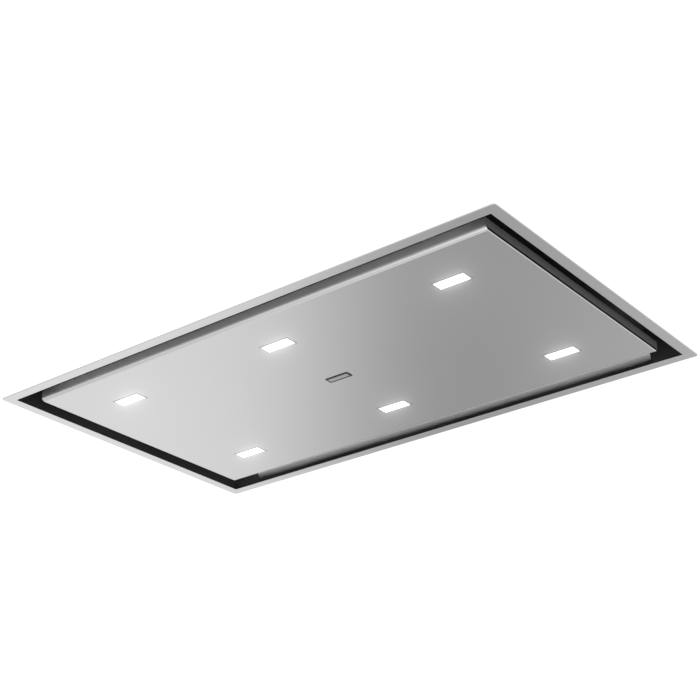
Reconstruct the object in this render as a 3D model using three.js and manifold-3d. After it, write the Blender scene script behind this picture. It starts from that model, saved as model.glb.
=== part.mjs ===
// Flush ceiling hood, 1200 x 700 mm. A stainless panel hangs in a trim frame, air is drawn through
// the slot round it, through two grease cassettes and a blower, and leaves by a round collar.
// Millimetres, +Z up. The origin is the middle of the ceiling plane, which is the upper face of the
// trim frame. +X runs along the long side and the panel's hinges are on the +Y side.

import * as THREE from 'three';
import { mergeVertices } from 'three/addons/utils/BufferGeometryUtils.js';
import Module from 'manifold-3d';

const wasm = await Module();
wasm.setup();

// ------------------------------------------------------------------ driving dimensions

// Clearances and roundness
const seatGap = 0.3; // between pieces that rest on or against each other
const runGap = 0.5; // beside pieces that turn or slide
const cutPast = 6; // how far a cutting shape runs past the face it opens
const fineSides = 40; // sides of a large round
const roundSides = 16; // sides of a small round
const cornerSteps = 5; // steps of a rounded corner

// Trim frame
const frameLength = 1200;
const frameWidth = 700;
const frameThickness = 2;
const frameCornerRadius = 5.5;
const flangeWidth = 21.6;

// Casing
const lipProjection = 5.4; // trim frame's inner edge to the casing's inner wall
const casingSheet = 1.2;
const casingHeight = 80;
const casingFoot = 4;
const casingRebate = 0.4; // step in the trim frame's upper face that the foot lies in

// Air guides
const guideRadius = 34;
const guideSweep = 44; // degrees of arc
const guideLeg = 5; // straight part below the arc
const guideSheet = 1;
const guideRise = 3; // above the ceiling plane
const guideEndInset = 35; // shorter than the panel at each end
const guideSteps = 8;

// Front panel
const endSlot = 33.4;
const sideSlot = 35.9;
const panelRecess = 2;
const panelDepth = 23;
const panelSheet = 0.8;
const panelLip = 10;

// Panel liner
const linerDepth = 17;
const linerSheet = 0.6;
const linerMargin = 1.5;

// Lamps
const lampColumns = 3;
const lampRows = 2;
const lampPitchX = 400;
const lampPitchY = 364;
const lampLength = 62;
const lampWidth = 23;
const lensRim = 3;
const lensRimThickness = 1.2;
const lampWall = 1.5;
const lampHeight = 10;

// Lamp leads
const leadRadius = 1.5;
const leadSides = 6;
const leadStandOff = 14; // from a housing's side to the run that feeds it
const trunkOffset = 70;

// Badge
const badgeLength = 55;
const badgeWidth = 19;
const badgeThickness = 0.6;

// Panel hinges
const hingeEndInset = 115; // panel's end to a hinge's middle
const hingeInset = 20; // axis to the panel's hinged edge
const hingeRise = 7; // axis above the panel's upper edge
const hingePinRadius = 3;
const hingeEyeRadius = 6;
const hingeArmWidth = 6;
const hingeArmDepth = 16;
const hingeArmLean = 14;
const hingeEarThickness = 2;
const hingeLeafWidth = 40;
const hingeLeafLength = 24;
const hingePlate = 1.5;
const hingeFootWidth = 40;
const hingePinHeadRadius = 5;
const hingePinHead = 1.5;

// Magnetic catches
const catchEndInset = 115; // panel's end to a catch's middle
const catchWidth = 28;
const catchDepth = 9;
const keeperThickness = 1.2;
const keeperEdge = 0.5; // keeper to the panel's outer edge
const magnetHeight = 6;
const catchPlate = 1.5;
const catchFootDepth = 24;

// Grease cassettes
const filterCount = 2;
const filterWidth = 296;
const filterLength = 372;
const filterThickness = 9;
const filterBar = 12;
const filterSpacing = 3;
const filterMeshThickness = 5;
const filterMeshRise = 2;

// Cassette catches
const latchWidth = 40;
const latchTongueWidth = 14;
const latchThickness = 2;
const latchRise = 3.5; // tongue above the cassette's underside
const latchReach = 5; // tongue past the cassette's edge
const latchPad = 14;
const latchTravel = 6;
const latchGrip = 9;

// Ledge frame that carries the cassettes
const supportSheet = 1.5;
const supportHeight = 15;
const supportLedge = 10;
const catchLedge = 8;
const supportPlay = 1;

// Blower housing
const motorBoxLength = 650;
const motorBoxWidth = 430;
const motorBoxHeight = 220;
const motorBoxSheet = 1;
const motorBoxFlange = 12;
const lidSheet = 1;
const lidRim = 15;

// Scroll
const scrollHeight = 140;
const scrollLift = 25; // scroll above the casing's top
const scrollWall = 1.5;
const tongueGap = 9;
const tongueAngle = 45; // degrees
const scrollGrowth = 86;
const scrollInletRadius = 80;
const scrollWallGap = 8;
const scrollSteps = 40;

// Impeller
const impellerRadius = 95;
const impellerHeight = 120;
const bladeChord = 14;
const bladeThickness = 1.2;
const bladeLead = 9; // degrees that a blade's tip leads its root
const bladeCount = 22;
const bladeSteps = 2;
const wheelPlate = 2;
const hubRadius = 14;
const hubHeight = 20;
const shaftRadius = 4;
const shaftDepth = 24; // shaft inside the motor

// Motor and its spider
const motorRadius = 45;
const motorHeight = 50;
const spiderArmWidth = 14;
const spiderArms = 3;
const spiderPlate = 2;
const spiderRing = 12;
const spiderHub = 30;

// Rails that carry the blower
const railOffset = 125;
const railWidth = 20;
const railHeight = 15;
const railSheet = 2;

// Duct collar and flaps
const collarRadius = 75;
const collarWall = 2;
const collarLength = 70;
const collarPlateSize = 182;
const collarPlate = 2;
const collarStep = 3;
const flapPinRise = 14; // pin from the housing's wall
const flapPinRadius = 2;
const flapThickness = 1.2;
const flapPlay = 0.8;
const flapPivotGap = 0.6; // flap's straight edge to its neighbour's knuckles
const knuckleRadius = 3.8;
const knuckleCount = 4;
const knuckleLength = 28;

// Control box
const controlLength = 150;
const controlWidth = 220;
const controlHeight = 45;
const controlWall = 2;
const controlLidThickness = 2;
const boardMargin = 8;
const boardThickness = 1.6;
const boardStandOff = 6;
const boardPostRadius = 3;
const terminalLength = 60;
const terminalDepth = 14;
const terminalHeight = 12;
const capacitorRadius = 11;
const capacitorLength = 50;

// Cable gland
const glandRadius = 7;
const glandBore = 4.5;
const glandNutRadius = 11;
const glandNutLength = 16;
const glandThread = 9;
const glandDepth = 5; // lock nut inside the box

// Lamp power supply
const driverLength = 52;
const driverWidth = 165;
const driverHeight = 28;
const driverFoot = 12;
const driverFootThickness = 3;

// Hanging brackets
const bracketWidth = 60;
const bracketBase = 42;
const bracketUpright = 64;
const bracketSheet = 2.5;
const bracketInset = 22; // from the casing's sides
const slotWidth = 9;
const slotLength = 40;
const slotBase = 14; // slot's lower end above the casing

// ------------------------------------------------------------------ sizes that follow

const openingLength = frameLength - 2 * flangeWidth;
const openingWidth = frameWidth - 2 * flangeWidth;
const casingInnerLength = openingLength + 2 * lipProjection;
const casingInnerWidth = openingWidth + 2 * lipProjection;
const casingLength = casingInnerLength + 2 * casingSheet;
const casingWidth = casingInnerWidth + 2 * casingSheet;
const casingCeiling = casingHeight - casingSheet;
const casingBottom = seatGap - casingRebate;

const panelLength = openingLength - 2 * endSlot;
const panelWidth = openingWidth - 2 * sideSlot;
const panelBottom = panelRecess - frameThickness;
const panelFloor = panelBottom + panelSheet;
const panelTop = panelBottom + panelDepth;
const linerTop = panelFloor + linerDepth;

const hingeX = panelLength / 2 - hingeEndInset;
const hingeAxisY = panelWidth / 2 - hingeInset;
const hingeAxisZ = panelTop + hingeRise;
const catchX = panelLength / 2 - catchEndInset;

const filterPitch = filterWidth + filterSpacing;
const supportInnerLength = filterCount * filterPitch - filterSpacing + 2 * supportPlay;
const supportFarY = filterLength / 2 + supportPlay;
const supportNearY = -filterLength / 2 - supportPlay - catchLedge;
const supportBottom = casingCeiling - seatGap - supportHeight;
const filterBottom = supportBottom + supportSheet + seatGap;

const motorBoxBottom = casingHeight + seatGap;
const motorBoxTop = motorBoxBottom + motorBoxHeight;
const motorBoxInnerWidth = motorBoxWidth - 2 * motorBoxSheet;
const scrollBottom = casingHeight + scrollLift;
const scrollTop = scrollBottom + scrollHeight;
const fanLevel = scrollBottom + scrollHeight / 2;
const tongueTurn = THREE.MathUtils.degToRad(tongueAngle);
const fullTurn = 2 * Math.PI;
const scrollStart = impellerRadius + tongueGap;
const scrollEnd = scrollStart + scrollGrowth;
const ductInner = scrollStart * Math.cos(tongueTurn);
const fanX = -(ductInner + scrollEnd) / 2;
const fanY = scrollRadius(0.75 * fullTurn) + scrollWallGap - motorBoxInnerWidth / 2;
const motorTop = scrollTop;
const collarBore = collarRadius - collarWall;
const collarY = motorBoxWidth / 2 + seatGap;

const sidePlatform = (motorBoxLength / 2 + motorBoxFlange + casingLength / 2) / 2;

// ------------------------------------------------------------------ finishes

function finish(color, roughness, metalness) {
  return new THREE.MeshStandardMaterial({ color, roughness, metalness });
}

const stainless = () => finish(0xb9babc, 0.32, 1);
const blackPaint = () => finish(0x17181a, 0.5, 0.1);
const galvanised = () => finish(0x9ea3a6, 0.45, 0.9);
const zincPlated = () => finish(0xa7abb0, 0.38, 0.95);
const aluminium = () => finish(0xc9ccce, 0.35, 0.95);
const blackPlastic = () => finish(0x1d1e20, 0.6, 0);
const greyPlastic = () => finish(0x6d7174, 0.55, 0);
const whitePlastic = () => finish(0xe8e8e6, 0.5, 0);
const opalLens = () => finish(0xffffff, 0.2, 0);
const ferrite = () => finish(0x2a2a2c, 0.7, 0.2);
const boardGreen = () => finish(0x1f5b36, 0.5, 0);

// ------------------------------------------------------------------ solids

/** A block centred on (x, y) that stands between two heights. */
function block(length, width, bottom, top, x = 0, y = 0) {
  const geometry = new THREE.BoxGeometry(length, width, top - bottom);
  geometry.translate(x, y, (bottom + top) / 2);
  return geometry;
}

/** A round bar along one axis, centred on the origin. */
function rod(radius, length, axis, sides = roundSides) {
  const geometry = new THREE.CylinderGeometry(radius, radius, length, sides);
  if (axis === 'x') geometry.rotateZ(Math.PI / 2);
  if (axis === 'z') geometry.rotateX(Math.PI / 2);
  return geometry;
}

/** A turned ring about Y, from a closed profile of [radius, y] points. */
function turned(profile, sides = roundSides) {
  const points = [...profile, profile[0]].map(([radius, y]) => new THREE.Vector2(radius, y));
  return new THREE.LatheGeometry(points, sides);
}

function outline(points) {
  return new THREE.Shape(points.map(([a, b]) => new THREE.Vector2(a, b)));
}

/** An outline in X and Y, raised along Z. */
function raised(shape, height) {
  return new THREE.ExtrudeGeometry(shape, { depth: height, bevelEnabled: false, curveSegments: cornerSteps });
}

/** An outline in Y and Z, drawn out along X and centred on it. */
function alongX(shape, length) {
  const geometry = raised(shape, length);
  geometry.translate(0, 0, -length / 2);
  const axes = new THREE.Matrix4().makeBasis(
    new THREE.Vector3(0, 1, 0),
    new THREE.Vector3(0, 0, 1),
    new THREE.Vector3(1, 0, 0),
  );
  return geometry.applyMatrix4(axes);
}

function roundedRectangle(length, width, radius) {
  const x = length / 2;
  const y = width / 2;
  const shape = new THREE.Shape();
  shape.absarc(x - radius, y - radius, radius, 0, Math.PI / 2);
  shape.absarc(radius - x, y - radius, radius, Math.PI / 2, Math.PI);
  shape.absarc(radius - x, radius - y, radius, Math.PI, 1.5 * Math.PI);
  shape.absarc(x - radius, radius - y, radius, 1.5 * Math.PI, fullTurn);
  return shape;
}

function toSolid(geometry) {
  const bare = new THREE.BufferGeometry();
  bare.setAttribute('position', geometry.getAttribute('position').clone());
  if (geometry.index) bare.setIndex(geometry.index.clone());
  const merged = mergeVertices(bare);
  const mesh = new wasm.Mesh({
    numProp: 3,
    vertProperties: Float32Array.from(merged.getAttribute('position').array),
    triVerts: Uint32Array.from(merged.index.array),
  });
  return new wasm.Manifold(mesh);
}

function toGeometry(solid) {
  const { vertProperties, triVerts } = solid.getMesh();
  const geometry = new THREE.BufferGeometry();
  geometry.setAttribute('position', new THREE.BufferAttribute(vertProperties, 3));
  geometry.setIndex(new THREE.BufferAttribute(triVerts, 1));
  return geometry;
}

function join(...geometries) {
  const solids = geometries.map(toSolid);
  return toGeometry(solids.reduce((whole, solid) => whole.add(solid)));
}

function cut(geometry, ...tools) {
  const solids = tools.map(toSolid);
  return toGeometry(solids.reduce((rest, tool) => rest.subtract(tool), toSolid(geometry)));
}

const hood = new THREE.Group();

function place(name, geometry, material, position, parent = hood) {
  const mesh = new THREE.Mesh(geometry, material);
  mesh.name = name;
  mesh.position.set(...position);
  parent.add(mesh);
  return mesh;
}

/** The two sides of a mirrored pair, as names and signs. */
const sides = [['left', -1], ['right', 1]];

// ------------------------------------------------------------------ trim frame and casing

function trimFrame() {
  const shape = roundedRectangle(frameLength, frameWidth, frameCornerRadius);
  const opening = block(openingLength, openingWidth, -cutPast, frameThickness + cutPast);
  const rebate = block(
    casingLength + 2 * seatGap,
    casingWidth + 2 * seatGap,
    frameThickness - casingRebate,
    frameThickness + cutPast,
  );
  return cut(raised(shape, frameThickness), opening, rebate);
}

function casing() {
  const mouthLength = casingInnerLength - 2 * casingFoot;
  const mouthWidth = casingInnerWidth - 2 * casingFoot;
  const intakeY = (supportFarY + supportNearY) / 2;
  const intakeWidth = supportFarY - supportNearY;
  return cut(
    block(casingLength, casingWidth, casingBottom, casingHeight),
    block(casingInnerLength, casingInnerWidth, casingBottom + casingSheet, casingCeiling),
    block(mouthLength, mouthWidth, -cutPast, casingBottom + casingSheet + cutPast),
    block(supportInnerLength, intakeWidth, casingCeiling - cutPast, casingHeight + cutPast, 0, intakeY),
  );
}

/** A cove along the inner wall: a straight leg on the wall, then an arc that leans over the slot. */
function airGuide() {
  const sweep = THREE.MathUtils.degToRad(guideSweep);
  const face = [];
  const back = [];
  for (let step = 0; step <= guideSteps; step += 1) {
    const turn = (sweep * step) / guideSteps;
    const outward = [Math.cos(turn), Math.sin(turn)];
    face.push([guideRadius * outward[0], guideLeg + guideRadius * outward[1]]);
    back.push([(guideRadius + guideSheet) * outward[0], guideLeg + (guideRadius + guideSheet) * outward[1]]);
  }
  const foot = [[guideRadius + guideSheet, 0], [guideRadius, 0]];
  return alongX(outline([...foot, ...face, ...back.reverse()]), panelLength - 2 * guideEndInset);
}

place('trim_frame', trimFrame(), stainless(), [0, 0, -frameThickness]);
place('casing', casing(), blackPaint(), [0, 0, 0]);

const guideCentre = casingInnerWidth / 2 - seatGap - guideSheet - guideRadius;
place('air_guide_far', airGuide(), stainless(), [0, guideCentre, guideRise]);
const nearGuide = place('air_guide_near', airGuide(), stainless(), [0, -guideCentre, guideRise]);
nearGuide.rotation.z = Math.PI;

// ------------------------------------------------------------------ front panel

const panel = new THREE.Group();
hood.add(panel);

const lampPlaces = [];
for (let row = 0; row < lampRows; row += 1) {
  for (let column = 0; column < lampColumns; column += 1) {
    const x = (column - (lampColumns - 1) / 2) * lampPitchX;
    const y = (row - (lampRows - 1) / 2) * lampPitchY;
    lampPlaces.push([x, y]);
  }
}

function frontPanel() {
  const lipLength = panelLength - 2 * panelLip;
  const lipWidth = panelWidth - 2 * panelLip;
  const innerLength = panelLength - 2 * panelSheet;
  const innerWidth = panelWidth - 2 * panelSheet;
  const windows = lampPlaces.map(([x, y]) => block(
    lampLength + 2 * seatGap,
    lampWidth + 2 * seatGap,
    -cutPast,
    panelSheet + cutPast,
    x,
    y,
  ));
  return cut(
    block(panelLength, panelWidth, 0, panelDepth),
    block(innerLength, innerWidth, panelSheet, panelDepth - panelSheet),
    block(lipLength, lipWidth, panelSheet, panelDepth + cutPast),
    ...windows,
  );
}

function panelLiner() {
  const length = panelLength - 2 * (panelSheet + linerMargin);
  const width = panelWidth - 2 * (panelSheet + linerMargin);
  return cut(
    block(length, width, seatGap, linerDepth),
    block(length - 2 * linerSheet, width - 2 * linerSheet, -cutPast, linerDepth - linerSheet),
  );
}

function lampLens() {
  const windowTop = panelSheet + seatGap;
  return join(
    block(lampLength, lampWidth, 0, windowTop + lensRimThickness),
    block(lampLength + 2 * lensRim, lampWidth + 2 * lensRim, windowTop, windowTop + lensRimThickness),
  );
}

const housingLength = lampLength + 2 * (lensRim + lampWall);
const housingWidth = lampWidth + 2 * (lensRim + lampWall);

function lampHousing() {
  const hollowLength = housingLength - 2 * lampWall;
  const hollowWidth = housingWidth - 2 * lampWall;
  return cut(
    block(housingLength, housingWidth, 0, lampHeight),
    block(hollowLength, hollowWidth, -cutPast, lampHeight - lampWall),
  );
}

/** The leads: one run along each row of lamps, a branch to each housing, and a trunk between. */
function lampHarness() {
  const housingSide = lampPitchY / 2 - housingWidth / 2;
  const runY = housingSide - leadStandOff;
  const branchLength = leadStandOff - seatGap + leadRadius;
  const runLength = (lampColumns - 1) * lampPitchX + 2 * leadRadius;
  const runs = [-1, 1].map((side) => rod(leadRadius, runLength, 'x', leadSides).translate(0, side * runY, 0));
  const branches = lampPlaces.map(([x, y]) => {
    const middle = runY - leadRadius + branchLength / 2;
    return rod(leadRadius, branchLength, 'y', leadSides).translate(x, Math.sign(y) * middle, 0);
  });
  const trunk = rod(leadRadius, 2 * runY, 'y', leadSides).translate(trunkOffset, 0, 0);
  return join(...runs, ...branches, trunk);
}

function badge() {
  return block(badgeLength, badgeWidth, 0, badgeThickness);
}

place('front_panel', frontPanel(), stainless(), [0, 0, panelBottom], panel);
place('panel_liner', panelLiner(), galvanised(), [0, 0, panelFloor], panel);
place('blank_badge', badge(), stainless(), [0, 0, panelBottom - seatGap - badgeThickness], panel);
place('lamp_harness', lampHarness(), greyPlastic(), [0, 0, panelFloor + seatGap + leadRadius], panel);

const housingBottom = panelFloor + seatGap + lensRimThickness + seatGap;
lampPlaces.forEach(([x, y], index) => {
  place(`lamp_lens_${index + 1}`, lampLens(), opalLens(), [x, y, panelBottom], panel);
  place(`lamp_housing_${index + 1}`, lampHousing(), whitePlastic(), [x, y, housingBottom], panel);
});

// ------------------------------------------------------------------ panel hinges

const hingeBore = rod(hingePinRadius + seatGap, 2 * hingeLeafWidth, 'x');
const hingeFootTop = casingCeiling - seatGap - hingeAxisZ;

/** The fixed arm, from a foot under the casing's top down to the eye, leaning away from the edge. */
function hingeBracket() {
  const footBottom = hingeFootTop - hingePlate;
  const shoulder = -hingeArmLean;
  const heel = shoulder - hingeArmDepth;
  const arm = outline([
    [-hingeEyeRadius, 0],
    [0, hingeEyeRadius / 2],
    [shoulder, footBottom + hingePlate / 2],
    [heel, footBottom + hingePlate / 2],
  ]);
  return cut(
    join(
      alongX(arm, hingeArmWidth),
      rod(hingeEyeRadius, hingeArmWidth, 'x'),
      block(hingeFootWidth, 2 * hingeArmDepth, footBottom, hingeFootTop, 0, (shoulder + heel) / 2),
    ),
    hingeBore,
  );
}

const hingeEarOffset = hingeArmWidth / 2 + runGap + hingeEarThickness / 2;

/** The moving half: a plate on the panel's liner with two ears round the fixed eye. */
function hingeLeaf() {
  const bottom = linerTop + seatGap - hingeAxisZ;
  const ears = [-1, 1].flatMap((side) => [
    rod(hingeEyeRadius, hingeEarThickness, 'x').translate(side * hingeEarOffset, 0, 0),
    block(hingeEarThickness, 2 * hingeEyeRadius, bottom, 0, side * hingeEarOffset, 0),
  ]);
  const plate = block(hingeLeafWidth, hingeLeafLength, bottom, bottom + hingePlate);
  return cut(join(plate, ...ears), hingeBore);
}

function hingePin() {
  const grip = hingeEarOffset + hingeEarThickness / 2 + seatGap;
  const heads = [-1, 1].map((side) => (
    rod(hingePinHeadRadius, hingePinHead, 'x').translate(side * (grip + hingePinHead / 2), 0, 0)
  ));
  return join(rod(hingePinRadius, 2 * grip + hingePinHead, 'x'), ...heads);
}

for (const [side, sign] of sides) {
  const axis = [sign * hingeX, hingeAxisY, hingeAxisZ];
  place(`hinge_bracket_${side}`, hingeBracket(), zincPlated(), axis);
  place(`hinge_leaf_${side}`, hingeLeaf(), zincPlated(), axis, panel);
  place(`hinge_pin_${side}`, hingePin(), zincPlated(), axis, panel);
}

// ------------------------------------------------------------------ magnetic catches

const keeperY = keeperEdge + catchDepth / 2 - panelWidth / 2;
const keeperTop = panelTop + seatGap + keeperThickness;
const magnetBottom = keeperTop + seatGap;
const magnetTop = magnetBottom + magnetHeight;

/** A folded strip: foot under the casing's top, upright, and a shelf that holds the magnet. */
function catchPost() {
  const shelfBottom = magnetTop + seatGap;
  const top = casingCeiling - seatGap;
  const uprightY = catchDepth / 2 + catchPlate / 2;
  const footY = uprightY - catchPlate / 2 + catchFootDepth / 2;
  return join(
    block(catchWidth, catchDepth + catchPlate, shelfBottom, shelfBottom + catchPlate, 0, catchPlate / 2),
    block(catchWidth, catchPlate, shelfBottom, top, 0, uprightY),
    block(catchWidth, catchFootDepth, top - catchPlate, top, 0, footY),
  );
}

for (const [side, sign] of sides) {
  const x = sign * catchX;
  const keeper = block(catchWidth, catchDepth, 0, keeperThickness);
  const magnet = block(catchWidth, catchDepth, 0, magnetHeight);
  place(`catch_keeper_${side}`, keeper, zincPlated(), [x, keeperY, panelTop + seatGap], panel);
  place(`catch_magnet_${side}`, magnet, ferrite(), [x, keeperY, magnetBottom]);
  place(`catch_post_${side}`, catchPost(), zincPlated(), [x, keeperY, 0]);
}

// ------------------------------------------------------------------ grease cassettes

/** A ledge frame: full ledge on the far side, and a higher one on the near side for the catches. */
function filterSupport() {
  const innerWidth = supportFarY - supportNearY;
  const middle = (supportFarY + supportNearY) / 2;
  const catchTop = filterBottom - supportBottom + latchRise;
  const walls = cut(
    block(supportInnerLength + 2 * supportSheet, innerWidth + 2 * supportSheet, 0, supportHeight, 0, middle),
    block(supportInnerLength, innerWidth, -cutPast, supportHeight + cutPast, 0, middle),
  );
  const ledgeLength = supportInnerLength + supportSheet;
  const farDepth = supportLedge + supportSheet;
  const nearDepth = catchLedge + supportSheet;
  const farLedge = block(
    ledgeLength,
    farDepth,
    0,
    supportSheet,
    0,
    supportFarY + supportSheet - farDepth / 2,
  );
  const nearLedge = block(
    ledgeLength,
    nearDepth,
    catchTop - supportSheet,
    catchTop,
    0,
    supportNearY - supportSheet + nearDepth / 2,
  );
  return join(walls, farLedge, nearLedge);
}

const latchRecessDepth = latchPad + latchTravel + 2 * runGap;

function filterFrame() {
  const innerWidth = filterWidth - 2 * filterBar;
  const innerLength = filterLength - 2 * filterBar;
  const slotBottom = latchRise;
  const slotTop = slotBottom + latchThickness + 2 * seatGap;
  const slotWide = latchTongueWidth + 2 * seatGap;
  return cut(
    block(filterWidth, filterLength, 0, filterThickness),
    block(innerWidth, innerLength, -cutPast, filterThickness + cutPast),
    block(slotWide, 2 * filterBar + cutPast, slotBottom, slotTop, 0, -filterLength / 2),
  );
}

function filterMesh() {
  const width = filterWidth - 2 * (filterBar + seatGap);
  const length = filterLength - 2 * (filterBar + seatGap);
  const recessLength = latchRecessDepth + filterBar;
  return cut(
    block(width, length, 0, filterMeshThickness),
    block(
      latchWidth + 4 * runGap,
      recessLength,
      -cutPast,
      filterMeshThickness + cutPast,
      0,
      recessLength / 2 - filterLength / 2,
    ),
  );
}

/** A catch: tongue through the cassette's near bar, a pad behind it and a grip that hangs down. */
function filterLatch() {
  const tongueLength = latchReach + filterBar + latchPad;
  const padY = filterBar + runGap + latchPad / 2;
  const gripY = filterBar + runGap + latchPad - latchThickness / 2;
  return join(
    block(latchTongueWidth, tongueLength, 0, latchThickness, 0, tongueLength / 2 - latchReach),
    block(latchWidth, latchPad, 0, latchThickness, 0, padY),
    block(latchWidth, latchThickness, -latchGrip, latchThickness, 0, gripY),
  );
}

place('filter_support', filterSupport(), blackPaint(), [0, 0, supportBottom]);
for (let index = 0; index < filterCount; index += 1) {
  const x = (index - (filterCount - 1) / 2) * filterPitch;
  const latchPlace = [x, -filterLength / 2, filterBottom + latchRise + seatGap];
  place(`filter_frame_${index + 1}`, filterFrame(), aluminium(), [x, 0, filterBottom]);
  place(`filter_mesh_${index + 1}`, filterMesh(), aluminium(), [x, 0, filterBottom + filterMeshRise]);
  place(`filter_latch_${index + 1}`, filterLatch(), blackPlastic(), latchPlace);
}

// ------------------------------------------------------------------ blower housing

function motorBox() {
  const flange = 2 * motorBoxFlange;
  const innerLength = motorBoxLength - 2 * motorBoxSheet;
  const outlet = rod(collarBore, 2 * cutPast, 'y', fineSides);
  outlet.translate(0, motorBoxWidth / 2, fanLevel - motorBoxBottom);
  return cut(
    join(
      block(motorBoxLength, motorBoxWidth, 0, motorBoxHeight),
      block(motorBoxLength + flange, motorBoxWidth + flange, 0, motorBoxSheet),
    ),
    block(innerLength, motorBoxInnerWidth, -cutPast, motorBoxHeight + cutPast),
    outlet,
  );
}

function motorBoxLid() {
  const innerLength = motorBoxLength + 2 * seatGap;
  const innerWidth = motorBoxWidth + 2 * seatGap;
  return cut(
    block(innerLength + 2 * lidSheet, innerWidth + 2 * lidSheet, -lidRim, lidSheet),
    block(innerLength, innerWidth, -lidRim - cutPast, 0),
  );
}

place('motor_box', motorBox(), galvanised(), [0, 0, motorBoxBottom]);
place('motor_box_lid', motorBoxLid(), galvanised(), [0, 0, motorBoxTop + seatGap]);

// ------------------------------------------------------------------ blower

/** The scroll's radius at an angle, growing evenly from the tongue round to the outlet. */
function scrollRadius(angle) {
  const share = (angle - tongueTurn) / (fullTurn - tongueTurn);
  return scrollStart + scrollGrowth * share;
}

/** The scroll's plan, drawn a distance inside its outer face, with its duct open at a given Y. */
function scrollPlan(inside, ductEnd) {
  const points = [];
  for (let step = 0; step <= scrollSteps; step += 1) {
    const angle = tongueTurn + ((fullTurn - tongueTurn) * step) / scrollSteps;
    const radius = scrollRadius(angle) - inside;
    points.push([radius * Math.cos(angle), radius * Math.sin(angle)]);
  }
  points.push([scrollEnd - inside, ductEnd]);
  points.push([ductInner + inside, ductEnd]);
  if (inside > 0) points.push([ductInner + inside, scrollStart * Math.sin(tongueTurn) - 2 * inside]);
  return outline(points);
}

function fanScroll() {
  const ductEnd = motorBoxInnerWidth / 2 - seatGap - fanY;
  const hollow = raised(scrollPlan(scrollWall, ductEnd + cutPast), scrollHeight - 2 * scrollWall);
  const inlets = rod(scrollInletRadius, scrollHeight + 2 * cutPast, 'z', fineSides);
  return cut(
    raised(scrollPlan(0, ductEnd), scrollHeight),
    hollow.translate(0, 0, scrollWall),
    inlets.translate(0, 0, scrollHeight / 2),
  );
}

/** A thin curved blade in plan, from the wheel's inner rim to its outer one. */
function bladePlan() {
  const lead = THREE.MathUtils.degToRad(bladeLead);
  const inner = impellerRadius - bladeChord;
  const front = [];
  const rear = [];
  for (let step = 0; step <= bladeSteps; step += 1) {
    const share = step / bladeSteps;
    const radius = inner + bladeChord * share;
    const turn = lead * share * share;
    const half = bladeThickness / 2 / radius;
    front.push([radius * Math.cos(turn - half), radius * Math.sin(turn - half)]);
    rear.push([radius * Math.cos(turn + half), radius * Math.sin(turn + half)]);
  }
  return outline([...front, ...rear.reverse()]);
}

function impeller() {
  const inner = impellerRadius - bladeChord;
  const half = impellerHeight / 2;
  const blades = [];
  for (let index = 0; index < bladeCount; index += 1) {
    const blade = raised(bladePlan(), impellerHeight - wheelPlate);
    blade.translate(0, 0, wheelPlate / 2 - half);
    blades.push(blade.rotateZ((fullTurn * index) / bladeCount));
  }
  const rings = [-half, half - wheelPlate].map((bottom) => cut(
    rod(impellerRadius, wheelPlate, 'z', fineSides).translate(0, 0, bottom + wheelPlate / 2),
    rod(inner, wheelPlate + 2 * cutPast, 'z', fineSides).translate(0, 0, bottom + wheelPlate / 2),
  ));
  const shaftTop = motorTop - motorHeight - fanLevel + shaftDepth;
  const shaftLength = shaftTop + hubHeight / 2;
  return join(
    rod(impellerRadius, wheelPlate, 'z', fineSides),
    rod(hubRadius, hubHeight, 'z'),
    rod(shaftRadius, shaftLength, 'z').translate(0, 0, shaftTop - shaftLength / 2),
    ...rings,
    ...blades,
  );
}

function fanMotor() {
  const bore = rod(shaftRadius + runGap, 2 * (shaftDepth + runGap), 'z');
  return cut(rod(motorRadius, motorHeight, 'z', fineSides).translate(0, 0, motorHeight / 2), bore);
}

/** A ring on the scroll's upper inlet, with arms in to the disc that the motor hangs from. */
function motorSpider() {
  const outer = scrollInletRadius + spiderRing;
  const ring = cut(
    rod(outer, spiderPlate, 'z', fineSides),
    rod(scrollInletRadius, spiderPlate + 2 * cutPast, 'z', fineSides),
  );
  const arms = [];
  const armLength = scrollInletRadius + spiderRing / 2;
  for (let index = 0; index < spiderArms; index += 1) {
    const arm = block(armLength, spiderArmWidth, -spiderPlate / 2, spiderPlate / 2, armLength / 2, 0);
    arms.push(arm.rotateZ((fullTurn * index) / spiderArms));
  }
  return join(ring, rod(spiderHub, spiderPlate, 'z'), ...arms);
}

/** An angle rail across the housing, with an upright tab at each end. */
function blowerRail() {
  const length = motorBoxInnerWidth - 2 * seatGap;
  const tabs = [-1, 1].map((side) => (
    block(railWidth, railSheet, 0, railHeight, 0, (side * (length - railSheet)) / 2)
  ));
  return join(
    block(railWidth, length, 0, railSheet),
    block(railSheet, length, 0, railHeight, (railSheet - railWidth) / 2, 0),
    ...tabs,
  );
}

place('fan_scroll', fanScroll(), galvanised(), [fanX, fanY, scrollBottom]);
place('impeller', impeller(), blackPlastic(), [fanX, fanY, fanLevel]);
place('fan_motor', fanMotor(), zincPlated(), [fanX, fanY, motorTop - motorHeight]);
place('motor_spider', motorSpider(), zincPlated(), [fanX, fanY, scrollTop + seatGap + spiderPlate / 2]);
for (const [side, sign] of sides) {
  const x = fanX + sign * railOffset;
  place(`blower_rail_${side}`, blowerRail(), galvanised(), [x, 0, scrollTop + seatGap]);
}

// ------------------------------------------------------------------ duct collar and flaps

const pinHole = rod(flapPinRadius + seatGap, 2 * (collarRadius + cutPast), 'z');

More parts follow.
